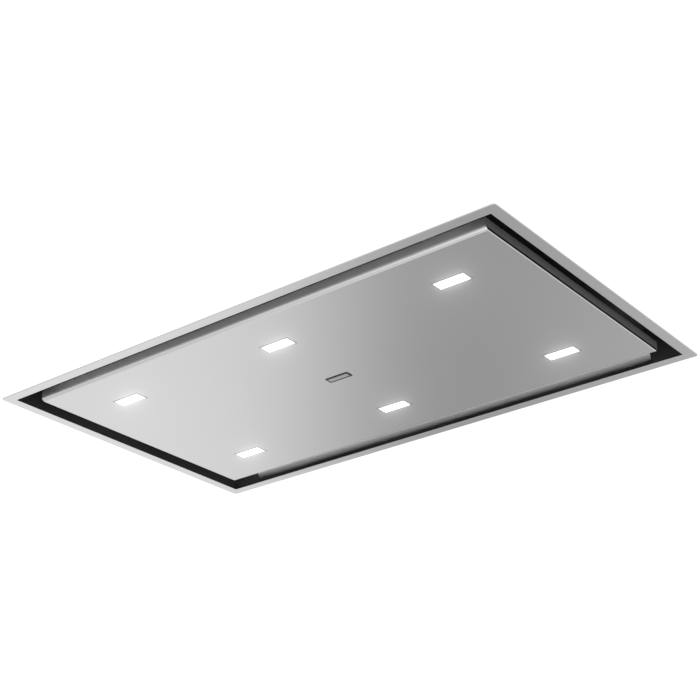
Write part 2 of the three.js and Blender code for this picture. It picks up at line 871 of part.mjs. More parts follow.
/** The collar: a square plate on the housing, a round spigot, and a step that the flaps close on. */
function ductCollar() {
  const stepFace = flapPinRise - flapThickness / 2 - seatGap;
  const stepRadius = collarBore - collarStep;
  const spigot = turned([
    [collarRadius, 0],
    [collarRadius, collarLength],
    [collarBore, collarLength],
    [collarBore, stepFace],
    [stepRadius, stepFace],
    [stepRadius, 0],
  ], fineSides);
  const plate = cut(
    block(collarPlateSize, collarPlate, -collarPlateSize / 2, collarPlateSize / 2, 0, collarPlate / 2),
    rod(collarBore, 2 * cutPast, 'y', fineSides),
  );
  return cut(join(spigot, plate), pinHole.clone().translate(0, flapPinRise, 0));
}

/** One half-disc flap on the +X side of the pin, with the knuckles that fall to it. */
function backdraftFlap(firstKnuckle) {
  const radius = collarBore - flapPlay;
  const edge = knuckleRadius + flapPivotGap;
  const plate = cut(
    rod(radius, flapThickness, 'y', fineSides),
    block(2 * radius, 2 * cutPast, -2 * radius, 2 * radius, edge - radius, 0),
  );
  const pieces = [plate];
  for (let index = firstKnuckle; index < knuckleCount; index += 2) {
    const middle = (index - (knuckleCount - 1) / 2) * knuckleLength;
    const length = knuckleLength - runGap;
    pieces.push(rod(knuckleRadius, length, 'z').translate(0, 0, middle));
    pieces.push(block(2 * edge, flapThickness, middle - length / 2, middle + length / 2, edge, 0));
  }
  return cut(join(...pieces), pinHole);
}

place('duct_collar', ductCollar(), blackPlastic(), [0, collarY, fanLevel]);
const pinPlace = [0, collarY + flapPinRise, fanLevel];
place('flap_pin', rod(flapPinRadius, 2 * collarRadius, 'z'), zincPlated(), pinPlace);
sides.forEach(([side, sign], index) => {
  const flap = place(`backdraft_flap_${side}`, backdraftFlap(index), blackPlastic(), pinPlace);
  flap.rotation.z = sign < 0 ? Math.PI : 0;
});

// ------------------------------------------------------------------ electronics

const glandLevel = controlHeight / 2;

function controlBox() {
  const gland = rod(glandRadius + seatGap, 2 * cutPast, 'y');
  return cut(
    block(controlLength, controlWidth, 0, controlHeight),
    block(
      controlLength - 2 * controlWall,
      controlWidth - 2 * controlWall,
      controlWall,
      controlHeight + cutPast,
    ),
    gland.translate(0, controlWidth / 2, glandLevel),
  );
}

/** The lid, with a rib below it that drops inside the box's walls. */
function controlBoxLid() {
  const ribLength = controlLength - 2 * (controlWall + seatGap);
  const ribWidth = controlWidth - 2 * (controlWall + seatGap);
  return cut(
    join(
      block(controlLength, controlWidth, 0, controlLidThickness),
      block(ribLength, ribWidth, -controlLidThickness, controlLidThickness / 2),
    ),
    block(ribLength - 2 * controlWall, ribWidth - 2 * controlWall, -cutPast, 0),
  );
}

function controlBoard() {
  const length = controlLength - 2 * (controlWall + boardMargin);
  const width = controlWidth - 2 * (controlWall + boardMargin) - glandDepth;
  const top = boardStandOff + boardThickness;
  const inset = 2 * boardPostRadius;
  const posts = [];
  for (const x of [inset - length / 2, length / 2 - inset]) {
    for (const y of [inset - width / 2, width / 2 - inset]) {
      const post = rod(boardPostRadius, boardStandOff + boardThickness / 2, 'z');
      posts.push(post.translate(x, y, (boardStandOff + boardThickness / 2) / 2));
    }
  }
  const terminalY = (width - terminalDepth) / 2 - inset;
  const capacitor = rod(capacitorRadius, capacitorLength, 'y');
  return join(
    block(length, width, boardStandOff, top),
    block(terminalLength, terminalDepth, boardStandOff, top + terminalHeight, 0, terminalY),
    capacitor.translate(capacitorRadius, -capacitorLength / 2, top + capacitorRadius - boardThickness / 2),
    ...posts,
  );
}

/** The inlet: thread through the box's wall, dome nut outside and lock nut inside. */
function cableGland() {
  const wallInner = -controlWall - seatGap;
  return turned([
    [glandRadius, wallInner],
    [glandRadius, seatGap],
    [glandNutRadius, seatGap],
    [glandNutRadius, seatGap + glandThread],
    [glandRadius, seatGap + glandNutLength],
    [glandBore, seatGap + glandNutLength],
    [glandBore, wallInner - glandDepth],
    [glandNutRadius, wallInner - glandDepth],
    [glandNutRadius, wallInner],
  ]);
}

function ledDriver() {
  return join(
    block(driverLength, driverWidth, 0, driverHeight),
    block(driverLength, driverWidth + 2 * driverFoot, 0, driverFootThickness),
  );
}

const controlBottom = casingHeight + seatGap;
const controlFloor = controlBottom + controlWall + seatGap;
place('control_box', controlBox(), greyPlastic(), [sidePlatform, 0, controlBottom]);
place('control_box_lid', controlBoxLid(), greyPlastic(), [
  sidePlatform,
  0,
  controlBottom + controlHeight + seatGap,
]);
place('control_board', controlBoard(), boardGreen(), [sidePlatform, -glandDepth / 2, controlFloor]);
place('cable_gland', cableGland(), blackPlastic(), [
  sidePlatform,
  controlWidth / 2,
  controlBottom + glandLevel,
]);
place('led_driver', ledDriver(), whitePlastic(), [-sidePlatform, 0, controlBottom]);

// ------------------------------------------------------------------ hanging brackets

/** An angle bracket with its upright on the +Y side, slotted for a hanging rod's bolt. */
function hangingBracket() {
  const uprightY = (bracketBase - bracketSheet) / 2;
  const slotHalf = slotWidth / 2;
  const slotMiddle = slotBase + slotLength / 2;
  const straight = slotLength / 2 - slotHalf;
  const slotEnds = [-1, 1].map((end) => (
    rod(slotHalf, 2 * cutPast, 'y').translate(0, uprightY, slotMiddle + end * straight)
  ));
  const slot = block(slotWidth, 2 * cutPast, slotMiddle - straight, slotMiddle + straight, 0, uprightY);
  return cut(
    join(
      block(bracketWidth, bracketBase, 0, bracketSheet),
      block(bracketWidth, bracketSheet, 0, bracketUpright, 0, uprightY),
    ),
    slot,
    ...slotEnds,
  );
}

let bracketNumber = 1;
for (const sideY of [-1, 1]) {
  for (const sideX of [-1, 1]) {
    const x = sideX * (casingLength / 2 - bracketInset - bracketWidth / 2);
    const y = sideY * (casingWidth / 2 - bracketInset - bracketBase / 2);
    const position = [x, y, casingHeight + seatGap];
    const bracket = place(`hanging_bracket_${bracketNumber}`, hangingBracket(), galvanised(), position);
    bracket.rotation.z = sideY < 0 ? Math.PI : 0;
    bracketNumber += 1;
  }
}

export default hood;
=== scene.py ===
"""Looks of a flush ceiling range hood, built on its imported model.

The frame is the part's own: +Z up, the origin in the middle of the ceiling plane, +X along the long
side and +Y towards the hinged side. Sizes of the object are stated in millimetres, and meshes are
made in metres. Nodes give the places, so each piece sits where its node is.
"""

import logging
import math
from collections.abc import Callable, Iterable, Sequence
from dataclasses import dataclass, field
from enum import Enum
from typing import Self

import bmesh
import bpy
from mathutils import Matrix, Vector


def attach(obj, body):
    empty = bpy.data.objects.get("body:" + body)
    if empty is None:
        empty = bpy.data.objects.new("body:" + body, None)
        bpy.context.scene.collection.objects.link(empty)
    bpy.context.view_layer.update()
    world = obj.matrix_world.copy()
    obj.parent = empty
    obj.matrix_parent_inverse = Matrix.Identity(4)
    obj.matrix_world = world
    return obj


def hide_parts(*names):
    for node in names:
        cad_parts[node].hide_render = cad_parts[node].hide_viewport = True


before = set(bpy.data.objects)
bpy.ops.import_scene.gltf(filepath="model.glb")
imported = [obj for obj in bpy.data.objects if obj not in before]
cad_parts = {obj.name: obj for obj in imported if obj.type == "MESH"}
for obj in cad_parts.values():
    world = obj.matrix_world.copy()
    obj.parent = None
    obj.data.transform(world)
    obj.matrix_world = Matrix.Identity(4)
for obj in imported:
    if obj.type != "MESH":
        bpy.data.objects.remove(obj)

LOG = logging.getLogger("hood")
MM = 0.001
SIGNS = (-1, 1)
SIDES = (("left", -1), ("right", 1))
WHITE = (1.0, 1.0, 1.0, 1.0)
WHITE_GLOW = 1.05

Colour = tuple[float, float, float]
Pair = tuple[float, float]
Row = tuple[float, ...]


class Body(str, Enum):
    """The bodies that pieces ride on."""

    HOOD = "hood"
    PANEL = "panel"
    WHEEL = "fan_wheel"
    FLAP_LEFT = "flap_left"
    FLAP_RIGHT = "flap_right"
    CATCH_1 = "catch_1"
    CATCH_2 = "catch_2"


class Axis(Enum):
    """A direction of the frame, with the turn that lays a Z cylinder along it."""

    Y = (math.pi / 2, 0.0, 0.0)
    Z = (0.0, 0.0, 0.0)


# --- shader graphs


@dataclass(frozen=True)
class Signal:
    """An output of a node, with arithmetic that adds Math nodes."""

    graph: "Graph"
    node: bpy.types.Node
    output: int | str = 0

    def __getitem__(self, output: int | str) -> "Signal":
        """Another output of the same node."""
        return Signal(self.graph, self.node, output)

    def __add__(self, other: "Signal | float") -> "Signal":
        """Sum."""
        return self.graph.math("ADD", self, other)

    __radd__ = __add__

    def __sub__(self, other: "Signal | float") -> "Signal":
        """Difference."""
        return self.graph.math("SUBTRACT", self, other)

    def __rsub__(self, other: float) -> "Signal":
        """Difference from a plain number."""
        return self.graph.math("SUBTRACT", other, self)

    def __mul__(self, other: "Signal | float") -> "Signal":
        """Product."""
        return self.graph.math("MULTIPLY", self, other)

    __rmul__ = __mul__


Feed = Signal | float | Sequence[float]


class Graph:
    """A node tree that is written as expressions."""

    def __init__(self, tree: bpy.types.NodeTree) -> None:
        """Starts an empty graph in a tree."""
        tree.nodes.clear()
        self.tree = tree

    def node(self, kind: str, settings: dict[str, object] | None = None, **inputs: Feed) -> Signal:
        """Adds a node.

        Args:
            kind: The node's type, without the leading ShaderNode.
            settings: Attributes that are set first; "stops" fills a colour ramp by angle.
            inputs: Values or signals by socket name, with _ for a space or a number as _0.

        Returns:
            Its first output.
        """
        made = self.tree.nodes.new("ShaderNode" + kind)
        for key, value in (settings or {}).items():
            if key == "stops":
                self.fill_ramp(made.color_ramp, value)
            else:
                setattr(made, key, value)
        for key, value in inputs.items():
            index = key.lstrip("_")
            socket = made.inputs[int(index) if index.isdigit() else key.replace("_", " ")]
            if isinstance(value, Signal):
                self.tree.links.new(value.node.outputs[value.output], socket)
            else:
                socket.default_value = value
        return Signal(self, made)

    @staticmethod
    def fill_ramp(ramp: bpy.types.ColorRamp, stops: Sequence[Pair]) -> None:
        """Sets a colour ramp to grey levels over a full circle.

        Args:
            ramp: The ramp.
            stops: Angle from -180 to 180 and level of each stop.
        """
        ramp.elements.remove(ramp.elements[1])
        for index, (angle, level) in enumerate(stops):
            place = (angle / 180 + 1) / 2
            element = ramp.elements.new(place) if index else ramp.elements[0]
            element.position = place
            element.color = (level, level, level, 1.0)

    def math(self, operation: str, *values: Signal | float) -> Signal:
        """Gives the result of a Math node."""
        inputs = {f"_{index}": value for index, value in enumerate(values)}
        return self.node("Math", {"operation": operation}, **inputs)

    def ranged(self, value: Signal, low: float, high: float, to: Pair = (0.0, 1.0)) -> Signal:
        """Maps the range from low to high smoothly on another and holds it at the ends."""
        return self.node("MapRange", {"interpolation_type": "SMOOTHSTEP"},
                         _0=value, _1=low, _2=high, _3=to[0], _4=to[1])

    def place(self, scale: float | Sequence[float] = 1.0) -> Signal:
        """Gives object coordinates times a scale, which may differ along X, Y and Z."""
        scales = (scale,) * 3 if isinstance(scale, float) else scale
        return self.node("Mapping", Vector=self.node("TexCoord")["Object"], Scale=scales)

    def noise(self, scale: float | Sequence[float], detail: float = 2.0) -> Signal:
        """Gives noise of about 0 to 1, with so many repeats per metre."""
        return self.node("TexNoise", Vector=self.place(scale), Scale=1.0, Detail=detail)

    def blend(self, share: Signal, first: Colour, second: Colour) -> Signal:
        """Mixes two colours by the share of the second."""
        colours = {"_6": (*first, 1.0), "_7": (*second, 1.0)}
        return self.node("Mix", {"data_type": "RGBA"}, _0=share, **colours)[2]

    def bump(self, height: Signal, depth: float, strength: float) -> Signal:
        """Gives the normal of a relief whose height of 1 stands for a depth in millimetres."""
        return self.node("Bump", Strength=strength, Distance=depth * MM, Height=height)


def material(name: str, surface: Callable[[Graph], Signal]) -> bpy.types.Material:
    """Gives a material, which is made the first time it is asked for.

    Args:
        name: Its name.
        surface: Builds its shader in a graph.

    Returns:
        The material.
    """
    made = bpy.data.materials.get(name)
    if not made:
        made = bpy.data.materials.new(name)
        made.use_nodes = True
        graph = Graph(made.node_tree)
        graph.node("OutputMaterial", Surface=surface(graph))
    return made


# --- finishes


@dataclass(frozen=True)
class Finish:
    """A finish, with the record's material slot that it belongs to."""

    name: str
    slot: str
    colour: Colour
    roughness: float

    def surface(self, graph: Graph) -> Signal:
        """Builds the finish's shader."""
        return graph.node("BsdfPrincipled", **self.sockets(graph))

    def sockets(self, graph: Graph) -> dict[str, Feed]:
        """Gives the shader's inputs; each kind of finish has its own."""
        raise NotImplementedError

    def toned(self, factor: float, lift: float = 0.0) -> Colour:
        """Gives the colour darker or lighter."""
        return tuple(min(1.0, factor * channel + lift) for channel in self.colour)


@dataclass(frozen=True)
class BrushedSteel(Finish):
    """Satin stainless with fine strokes along one axis and faint clouding from handling."""

    stroke: Sequence[float] = (3.0, 1500.0, 1500.0)
    wall_roughness: float = 0.0
    wall_rise: Pair = (2.0 * MM, 8.0 * MM)

    def sockets(self, graph: Graph) -> dict[str, Feed]:
        """Gives metal, stroke-dependent gloss, duller up the walls, and a very shallow grain.

        Args:
            graph: The material's graph.

        Returns:
            The shader's inputs.
        """
        strokes, clouds = graph.noise(self.stroke, 3.0), graph.noise(3.0)
        gloss = self.roughness + 0.06 * (strokes - 0.5) + 0.03 * (clouds - 0.5)
        if self.wall_roughness:
            height = graph.node("SeparateXYZ", _0=graph.place())[2]
            gloss += (self.wall_roughness - self.roughness) * graph.ranged(height, *self.wall_rise)
        return {"Base_Color": graph.blend(strokes, self.toned(0.93), self.colour),
                "Roughness": gloss, "Normal": graph.bump(strokes, 0.02, 0.1), "Metallic": 1.0}


@dataclass(frozen=True)
class SatinPaint(Finish):
    """Stoved paint on sheet metal, with a slight orange peel."""

    peel: float = 900.0

    def sockets(self, graph: Graph) -> dict[str, Feed]:
        """Gives a dielectric coat with fine waviness.

        Args:
            graph: The material's graph.

        Returns:
            The shader's inputs.
        """
        peel, clouds = graph.noise(self.peel, 1.0), graph.noise(6.0)
        return {"Base_Color": graph.blend(clouds, self.colour, self.toned(1.5, 0.001)),
                "Roughness": self.roughness + 0.08 * (clouds - 0.5),
                "Normal": graph.bump(peel, 0.03, 0.35)}


@dataclass(frozen=True)
class GalvanisedSteel(Finish):
    """Hot-dipped zinc with its spangle: large crystals of differing brightness and gloss."""

    spangle: float = 90.0

    def sockets(self, graph: Graph) -> dict[str, Feed]:
        """Gives metal whose tint and gloss change from crystal to crystal.

        Args:
            graph: The material's graph.

        Returns:
            The shader's inputs.
        """
        wobble = graph.noise(40.0)
        crystals = graph.node("TexVoronoi", Vector=graph.place(), Scale=self.spangle)
        mixed = 0.7 * graph.node("SeparateColor", _0=crystals["Color"]) + 0.3 * wobble
        return {"Base_Color": graph.blend(mixed, self.toned(0.72), self.colour),
                "Roughness": self.roughness + 0.16 * (mixed - 0.5),
                "Normal": graph.bump(wobble, 0.05, 0.3), "Metallic": 1.0}


@dataclass(frozen=True)
class PlatedSteel(Finish):
    """Zinc-plated or drawn small metal parts with a soft mottled gloss."""

    grain: float = 500.0

    def sockets(self, graph: Graph) -> dict[str, Feed]:
        """Gives metal with a fine mottle.

        Args:
            graph: The material's graph.

        Returns:
            The shader's inputs.
        """
        mottle = graph.noise(self.grain)
        return {"Base_Color": graph.blend(mottle, self.toned(0.8), self.colour),
                "Roughness": self.roughness + 0.12 * (mottle - 0.5),
                "Normal": graph.bump(mottle, 0.02, 0.25), "Metallic": 1.0}


@dataclass(frozen=True)
class MouldedPlastic(Finish):
    """Moulded plastic with a fine spark-eroded grain."""

    grain: float = 1800.0

    def sockets(self, graph: Graph) -> dict[str, Feed]:
        """Gives a dielectric with fine grain and slight unevenness of colour.

        Args:
            graph: The material's graph.

        Returns:
            The shader's inputs.
        """
        grain, clouds = graph.noise(self.grain), graph.noise(9.0)
        return {"Base_Color": graph.blend(clouds, self.colour, self.toned(1.18, 0.002)),
                "Roughness": self.roughness + 0.1 * (grain - 0.5),
                "Normal": graph.bump(grain, 0.06, 0.3)}


@dataclass(frozen=True)
class ExpandedMetal(Finish):
    """Slit and stretched aluminium: diamond openings between thin strands."""

    pitch: Pair = (6.0, 3.4)
    shift: float = 0.0
    strand: float = 0.3

    def sockets(self, graph: Graph) -> dict[str, Feed]:
        """Opens diamonds between two crossing rows of strands.

        Args:
            graph: The material's graph.

        Returns:
            The shader's inputs.
        """
        place = graph.node("SeparateXYZ", _0=graph.place())
        along = place[0] * (1 / (self.pitch[0] * MM)) + self.shift
        across = place[1] * (1 / (self.pitch[1] * MM))
        above_zero = 500.0
        lines = [graph.math("ABSOLUTE", graph.math("FRACT", line + above_zero) - 0.5)
                 for line in (along + across, along - across)]
        nearest = graph.math("MAXIMUM", *lines)
        mottle = graph.noise(400.0)
        return {"Base_Color": graph.blend(mottle, self.toned(0.75), self.colour),
                "Roughness": self.roughness + 0.1 * (mottle - 0.5), "Metallic": 1.0,
                "Alpha": graph.math("GREATER_THAN", nearest, 0.5 - self.strand / 2)}


@dataclass(frozen=True)
class OpalWindow(Finish):
    """A lit diffuser with even white light."""

    glow: float = 2.4

    def sockets(self, graph: Graph) -> dict[str, Feed]:
        """Gives an emissive dielectric.

        Args:
            graph: The material's graph.

        Returns:
            The shader's inputs.
        """
        light = graph.blend(graph.noise(160.0, 1.0), (0.96, 0.98, 1.0), WHITE[:3])
        return {"Emission_Color": light, "Emission_Strength": self.glow,
                "Base_Color": (*self.colour, 1.0), "Roughness": self.roughness}


PANEL_STEEL = BrushedSteel("panel_stainless", "stainless", (0.66, 0.66, 0.665), 0.24,
                           wall_roughness=0.66)
FRAME_STEEL = BrushedSteel("frame_stainless", "stainless", (0.70, 0.70, 0.705), 0.26)
# The coves' stainless is much lighter than the panel's and frame's; the extra lightness stands in
# for the light the coves reflect: painted light.
GUIDE_STEEL_PAINTED_LIGHT = BrushedSteel("guide_stainless_painted_light", "stainless", (0.92, 0.92, 0.93), 0.25)
BEZEL = BrushedSteel("bezel_steel", "stainless", (0.7, 0.7, 0.705), 0.24)
BADGE_STEEL = BrushedSteel("badge_steel", "badge_steel", (0.5, 0.5, 0.51), 0.3,
                           (1500.0, 3.0, 1500.0))
BADGE_RIM = BrushedSteel("badge_rim", "badge_steel", (0.05, 0.05, 0.055), 0.35)
MESH_FINISHES = tuple(
    ExpandedMetal(f"expanded_metal_{i}", "aluminium_mesh", (0.62, 0.63, 0.64), 0.34, shift=0.25 * i)
    for i in range(3))
BLACK_PAINT = SatinPaint("black_paint", "black_paint", (0.028, 0.028, 0.029), 0.5)
MAGNET = SatinPaint("ferrite", "magnet", (0.03, 0.03, 0.031), 0.6)
BOARD_GREEN = SatinPaint("board_green", "board", (0.012, 0.09, 0.035), 0.35)
GALVANISED = GalvanisedSteel("galvanised", "galvanised", (0.52, 0.54, 0.56), 0.38)
ALUMINIUM = PlatedSteel("cassette_aluminium", "aluminium", (0.72, 0.73, 0.74), 0.32)
LINER = PlatedSteel("liner_aluminium", "liner_aluminium", (0.62, 0.63, 0.64), 0.36, 120.0)
ZINC = PlatedSteel("zinc_plate", "zinc_plated", (0.58, 0.59, 0.6), 0.3)
SCREW_ZINC = PlatedSteel("screw_zinc", "zinc_plated", (0.5, 0.5, 0.49), 0.26)
BLACK_PLASTIC = MouldedPlastic("black_plastic", "black_plastic", (0.012, 0.012, 0.013), 0.46)
GREY_PLASTIC = MouldedPlastic("grey_plastic", "grey_plastic", (0.17, 0.175, 0.18), 0.5)
WHITE_PLASTIC = MouldedPlastic("white_plastic", "white_plastic", (0.74, 0.74, 0.72), 0.45)
WINDOW = OpalWindow("lamp_window", "lamp_window", (0.9, 0.9, 0.9), 0.3)


# --- modelling


Test = Callable[[Vector, Vector], bool]
UP, DOWN = Vector((0, 0, 1)), Vector((0, 0, -1))
RIGHT, FAR = Vector((1, 0, 0)), Vector((0, 1, 0))
ALONG = 0.99  # the least share of a direction that counts as along it
SLACK = 0.1 * MM  # how near counts as met
FIELD_SLACK = 3 * MM  # how near the middle of a face lies to the place that picks it


def at(x: float, y: float, z: float) -> Vector:
    """Gives a place or size that is stated in millimetres."""
    return Vector((x, y, z)) * MM


def beside(middle: float, offset: float) -> Pair:
    """Gives the two places on both sides of a middle."""
    return middle - offset, middle + offset


def grown(half: Pair, by: float) -> Pair:
    """Gives half the length and width of a rectangle with something added all round."""
    return half[0] + by, half[1] + by


def grid(across: Iterable[float], deep: Iterable[float], level: float) -> list[Vector]:
    """Gives the crossings of lines at places across X and Y, at one level."""
    return [at(x, y, level) for x in across for y in deep]


def every(centre: Vector, normal: Vector) -> bool:
    """Picks everything."""
    return True


def facing(way: Vector) -> Test:
    """Gives a test for faces that look straight one way."""
    return lambda centre, normal: normal.dot(way) > ALONG


def running(way: Vector) -> Test:
    """Gives a test for edges that run straight along a way."""
    return lambda middle, run: abs(run.dot(way)) > ALONG


def field_at(places: Sequence[Vector]) -> Test:
    """Gives a test for faces that look up and have their middle above one of some places."""
    return lambda centre, normal: normal.z > ALONG and any(
        (centre - place).xy.length < FIELD_SLACK for place in places)


class Piece:
    """A mesh under work, shaped by edit-mode operators and applied modifiers."""

    def __init__(self, item: bpy.types.Object, name: str) -> None:
        """Takes a fresh mesh object, whose place goes into its mesh.

        Args:
            item: The object.
            name: The piece's name.
        """
        self.item = item
        item.name = item.data.name = name
        self.select()
        bpy.ops.object.transform_apply(location=True, rotation=True, scale=True)

    @staticmethod
    def clear_selection() -> None:
        """Leaves nothing selected."""
        for item in list(bpy.context.selected_objects):
            item.select_set(False)

    @classmethod
    def add(cls, name: str, operator: Callable[..., set[str]], scale: Sequence[float] = (1, 1, 1),
            **settings: object) -> Self:
        """Adds a primitive.

        Args:
            name: The piece's name.
            operator: The operator that adds it.
            scale: By what it is stretched along X, Y and Z.
            settings: The operator's settings.

        Returns:
            The piece.
        """
        cls.clear_selection()
        operator(**settings)
        bpy.context.object.scale = scale
        return cls(bpy.context.object, name)

    @classmethod
    def block(cls, name: str, low: Vector, high: Vector) -> Self:
        """Adds a block between two corners."""
        return cls.add(name, bpy.ops.mesh.primitive_cube_add, high - low, size=1.0,
                       location=(low + high) / 2)

    @classmethod
    def slab(cls, name: str, half: Pair, low: float, high: float, centre: Pair = (0, 0)) -> Self:
        """Adds a block by half its length and width, its two levels and its middle."""
        (across, deep), (x, y) = half, centre
        return cls.block(name, at(x - across, y - deep, low), at(x + across, y + deep, high))

    @classmethod
    def rim(cls, name: str, inner: Pair, width: float, low: float, high: float) -> Self:
        """Adds a rectangular ring by half its opening, its width and its two levels."""
        ring = cls.slab(name, grown(inner, width), low, high)
        return ring.cut(cls.slab(f"{name}_opening", inner, low - 3, high + 3))

    @classmethod
    def rod(cls, name: str, centre: Vector, radius: float, length: float, sides: int,
            axis: Axis = Axis.Y) -> Self:
        """Adds a round or many-sided bar that lies along an axis."""
        return cls.add(name, bpy.ops.mesh.primitive_cylinder_add, vertices=sides,
                       radius=radius * MM, depth=length * MM, location=centre, rotation=axis.value)

    @classmethod
    def plane(cls, name: str, centre: Vector, sides: Pair, turn: Row = (0, 0, 0)) -> Self:
        """Adds a plane by its middle, its length and width, and its turn about X, Y and Z."""
        return cls.add(name, bpy.ops.mesh.primitive_plane_add, (sides[0] * MM, sides[1] * MM, 1.0),
                       size=1.0, location=centre, rotation=turn)

    @classmethod
    def from_node(cls, node: str) -> Self:
        """Copies a node's mesh and merges its loose triangles into faces.

        Args:
            node: The node.

        Returns:
            The piece.
        """
        cls.clear_selection()
        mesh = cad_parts[node].data.copy()
        mesh.materials.clear()
        item = bpy.data.objects.new(node, mesh)
        bpy.context.scene.collection.objects.link(item)
        piece = cls(item, f"{node}_finished")
        piece.edit(every)
        bpy.ops.mesh.remove_doubles(threshold=0.002 * MM)
        bpy.ops.mesh.dissolve_limited(angle_limit=math.radians(0.6))
        return piece.done()

    @classmethod
    def merged(cls, name: str, pieces: Iterable[Self]) -> Self:
        """Joins pieces as they are.

        Args:
            name: The name of the whole.
            pieces: The pieces.

        Returns:
            The first piece, which now holds all of them.
        """
        first, *others = pieces
        first.select()
        for other in others:
            other.item.select_set(True)
        bpy.ops.object.join()
        first.item.name = name
        return first

    def select(self) -> None:
        """Makes this the one selected and active object."""
        self.clear_selection()
        self.item.select_set(True)
        bpy.context.view_layer.objects.active = self.item

    def edit(self, test: Test, kind: str = "FACE") -> None:
        """Enters edit mode with some elements selected.

        Args:
            test: Picks a face by its centre and normal, or an edge by its middle and way.
            kind: FACE or EDGE.
        """
        self.select()
        bpy.ops.object.mode_set(mode="EDIT")
        bpy.ops.mesh.select_mode(type=kind)
        bpy.ops.mesh.select_all(action="DESELECT")
        mesh = bmesh.from_edit_mesh(self.item.data)
        for face in mesh.faces if kind == "FACE" else ():
            face.select_set(test(face.calc_center_median(), face.normal))
        for edge in mesh.edges if kind == "EDGE" else ():
            first, last = (vertex.co for vertex in edge.verts)
            edge.select_set(test((first + last) / 2, (last - first).normalized()))
        bmesh.update_edit_mesh(self.item.data)

    def done(self) -> Self:
        """Leaves edit mode."""
        bpy.ops.object.mode_set(mode="OBJECT")
        return self

    def work(self, operator: Callable[..., set[str]], test: Test, kind: str = "FACE",
             **settings: object) -> Self:
        """Runs an edit-mode operator on some elements.

        Args:
            operator: The operator.
            test: Picks the elements.
            kind: FACE or EDGE.
            settings: The operator's settings.

        Returns:
            This piece.
        """
        self.edit(test, kind)
        operator(**settings)
        return self.done()

    def inset(self, test: Test, width: float, depth: float = 0.0, apart: bool = False) -> Self:
        """Insets faces, each on its own if apart, and moves the inner ones out by a depth."""
        return self.work(bpy.ops.mesh.inset, test, thickness=width * MM, depth=depth * MM,
                         use_individual=apart)

    def press(self, test: Test, border: float, slope: float, depth: float) -> Self:
        """Presses fields into a sheet: a flat border, then a slope down to the field."""
        return self.inset(test, border, apart=True).inset(test, slope, -depth, apart=True)

    def pull(self, test: Test, way: Vector) -> Self:
        """Extrudes faces."""
        return self.work(bpy.ops.mesh.extrude_region_move, test,
                         TRANSFORM_OT_translate={"value": way})

    def remove(self, test: Test) -> Self:
        """Deletes faces."""
        return self.work(bpy.ops.mesh.delete, test, type="FACE")

    def round_edges(self, test: Test, width: float, segments: int = 3) -> Self:
        """Bevels chosen edges."""
        return self.work(bpy.ops.mesh.bevel, test, "EDGE", offset=width * MM, segments=segments,
                         affect="EDGES")

    def divide(self, way: Vector, places: Iterable[float]) -> Self:
        """Cuts every face along parallel planes, keeping both sides.

        Args:
            way: The planes' normal.
            places: Where the planes lie.

        Returns:
            This piece.
        """
        for place in places:
            self.work(bpy.ops.mesh.bisect, every, plane_co=way * place * MM, plane_no=way)
        return self

    def modify(self, kind: str, **settings: object) -> Self:
        """Adds a modifier and applies it.

        Args:
            kind: The modifier's type.
            settings: Its attributes.

        Returns:
            This piece.
        """
        self.select()
        modifier = self.item.modifiers.new(kind.lower(), kind)
        for key, value in settings.items():
            setattr(modifier, key, value)
        bpy.ops.object.modifier_apply(modifier=modifier.name)
        return self

    def ease(self, width: float, segments: int = 2, angle: float = 30.0) -> Self:
        """Rounds the edges that are sharper than an angle in degrees."""
        return self.modify("BEVEL", width=width * MM, segments=segments, limit_method="ANGLE",
                           angle_limit=math.radians(angle), use_clamp_overlap=True)

    def thicken(self, sheet: float) -> Self:
        """Gives a surface the thickness of its sheet, behind its faces."""
        return self.modify("SOLIDIFY", thickness=sheet * MM, offset=-1.0)

    def cut(self, *tools: Self) -> Self:
        """Takes other pieces' space out of this one and removes them.

        Args:
            tools: The cutting pieces.

        Returns:
            This piece.
        """
        for tool in tools:
            self.modify("BOOLEAN", operation="DIFFERENCE", solver="EXACT", object=tool.item)
            bpy.data.objects.remove(tool.item)
        return self

    def copy(self, name: str, turn: Matrix) -> Self:
        """Copies the piece, with its own mesh, to another place.

        Args:
            name: The copy's name.
            turn: Where the copy goes.

        Returns:
            The copy.
        """
        item = self.item.copy()
        item.data = self.item.data.copy()
        bpy.context.scene.collection.objects.link(item)
        item.data.transform(turn)
        return type(self)(item, name)

    def spread(self, name: str, turns: Iterable[Matrix]) -> list[Self]:
        """Copies the piece to many places and removes it.

        Args:
            name: The copies' name, to which their number from 1 is added.
            turns: Where the copies go.

        Returns:
            The copies.
        """
        copies = [self.copy(f"{name}_{index}", turn) for index, turn in enumerate(turns, start=1)]
        bpy.data.objects.remove(self.item)
        return copies

    def dress(self, finish: Finish, *nodes: str, body: Body = Body.HOOD,
              smooth: float = 35.0) -> None:
        """Gives the finished piece its material and its body.

        Args:
            finish: The finish.
            nodes: The nodes that it stands for.
            body: The body that it rides on.
            smooth: Degrees up to which edges are shaded smooth.
        """
        self.select()
        bpy.ops.object.shade_smooth_by_angle(angle=math.radians(smooth))
        self.modify("WEIGHTED_NORMAL", weight=100, keep_sharp=True)
        self.item.data.materials.append(material(f"finish_{finish.name}", finish.surface))
        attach(self.item, body.value)
        if nodes:
            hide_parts(*nodes)
        LOG.info("%s: %d faces on %s", self.item.name, len(self.item.data.polygons), body.value)


def ease_nodes(finish: Finish, width: float, *nodes: str, body: Body = Body.HOOD) -> None:
    """Replaces nodes by copies whose edges are rounded by a width."""
    for node in nodes:
        Piece.from_node(node).ease(width).dress(finish, node, body=body)


# --- fasteners


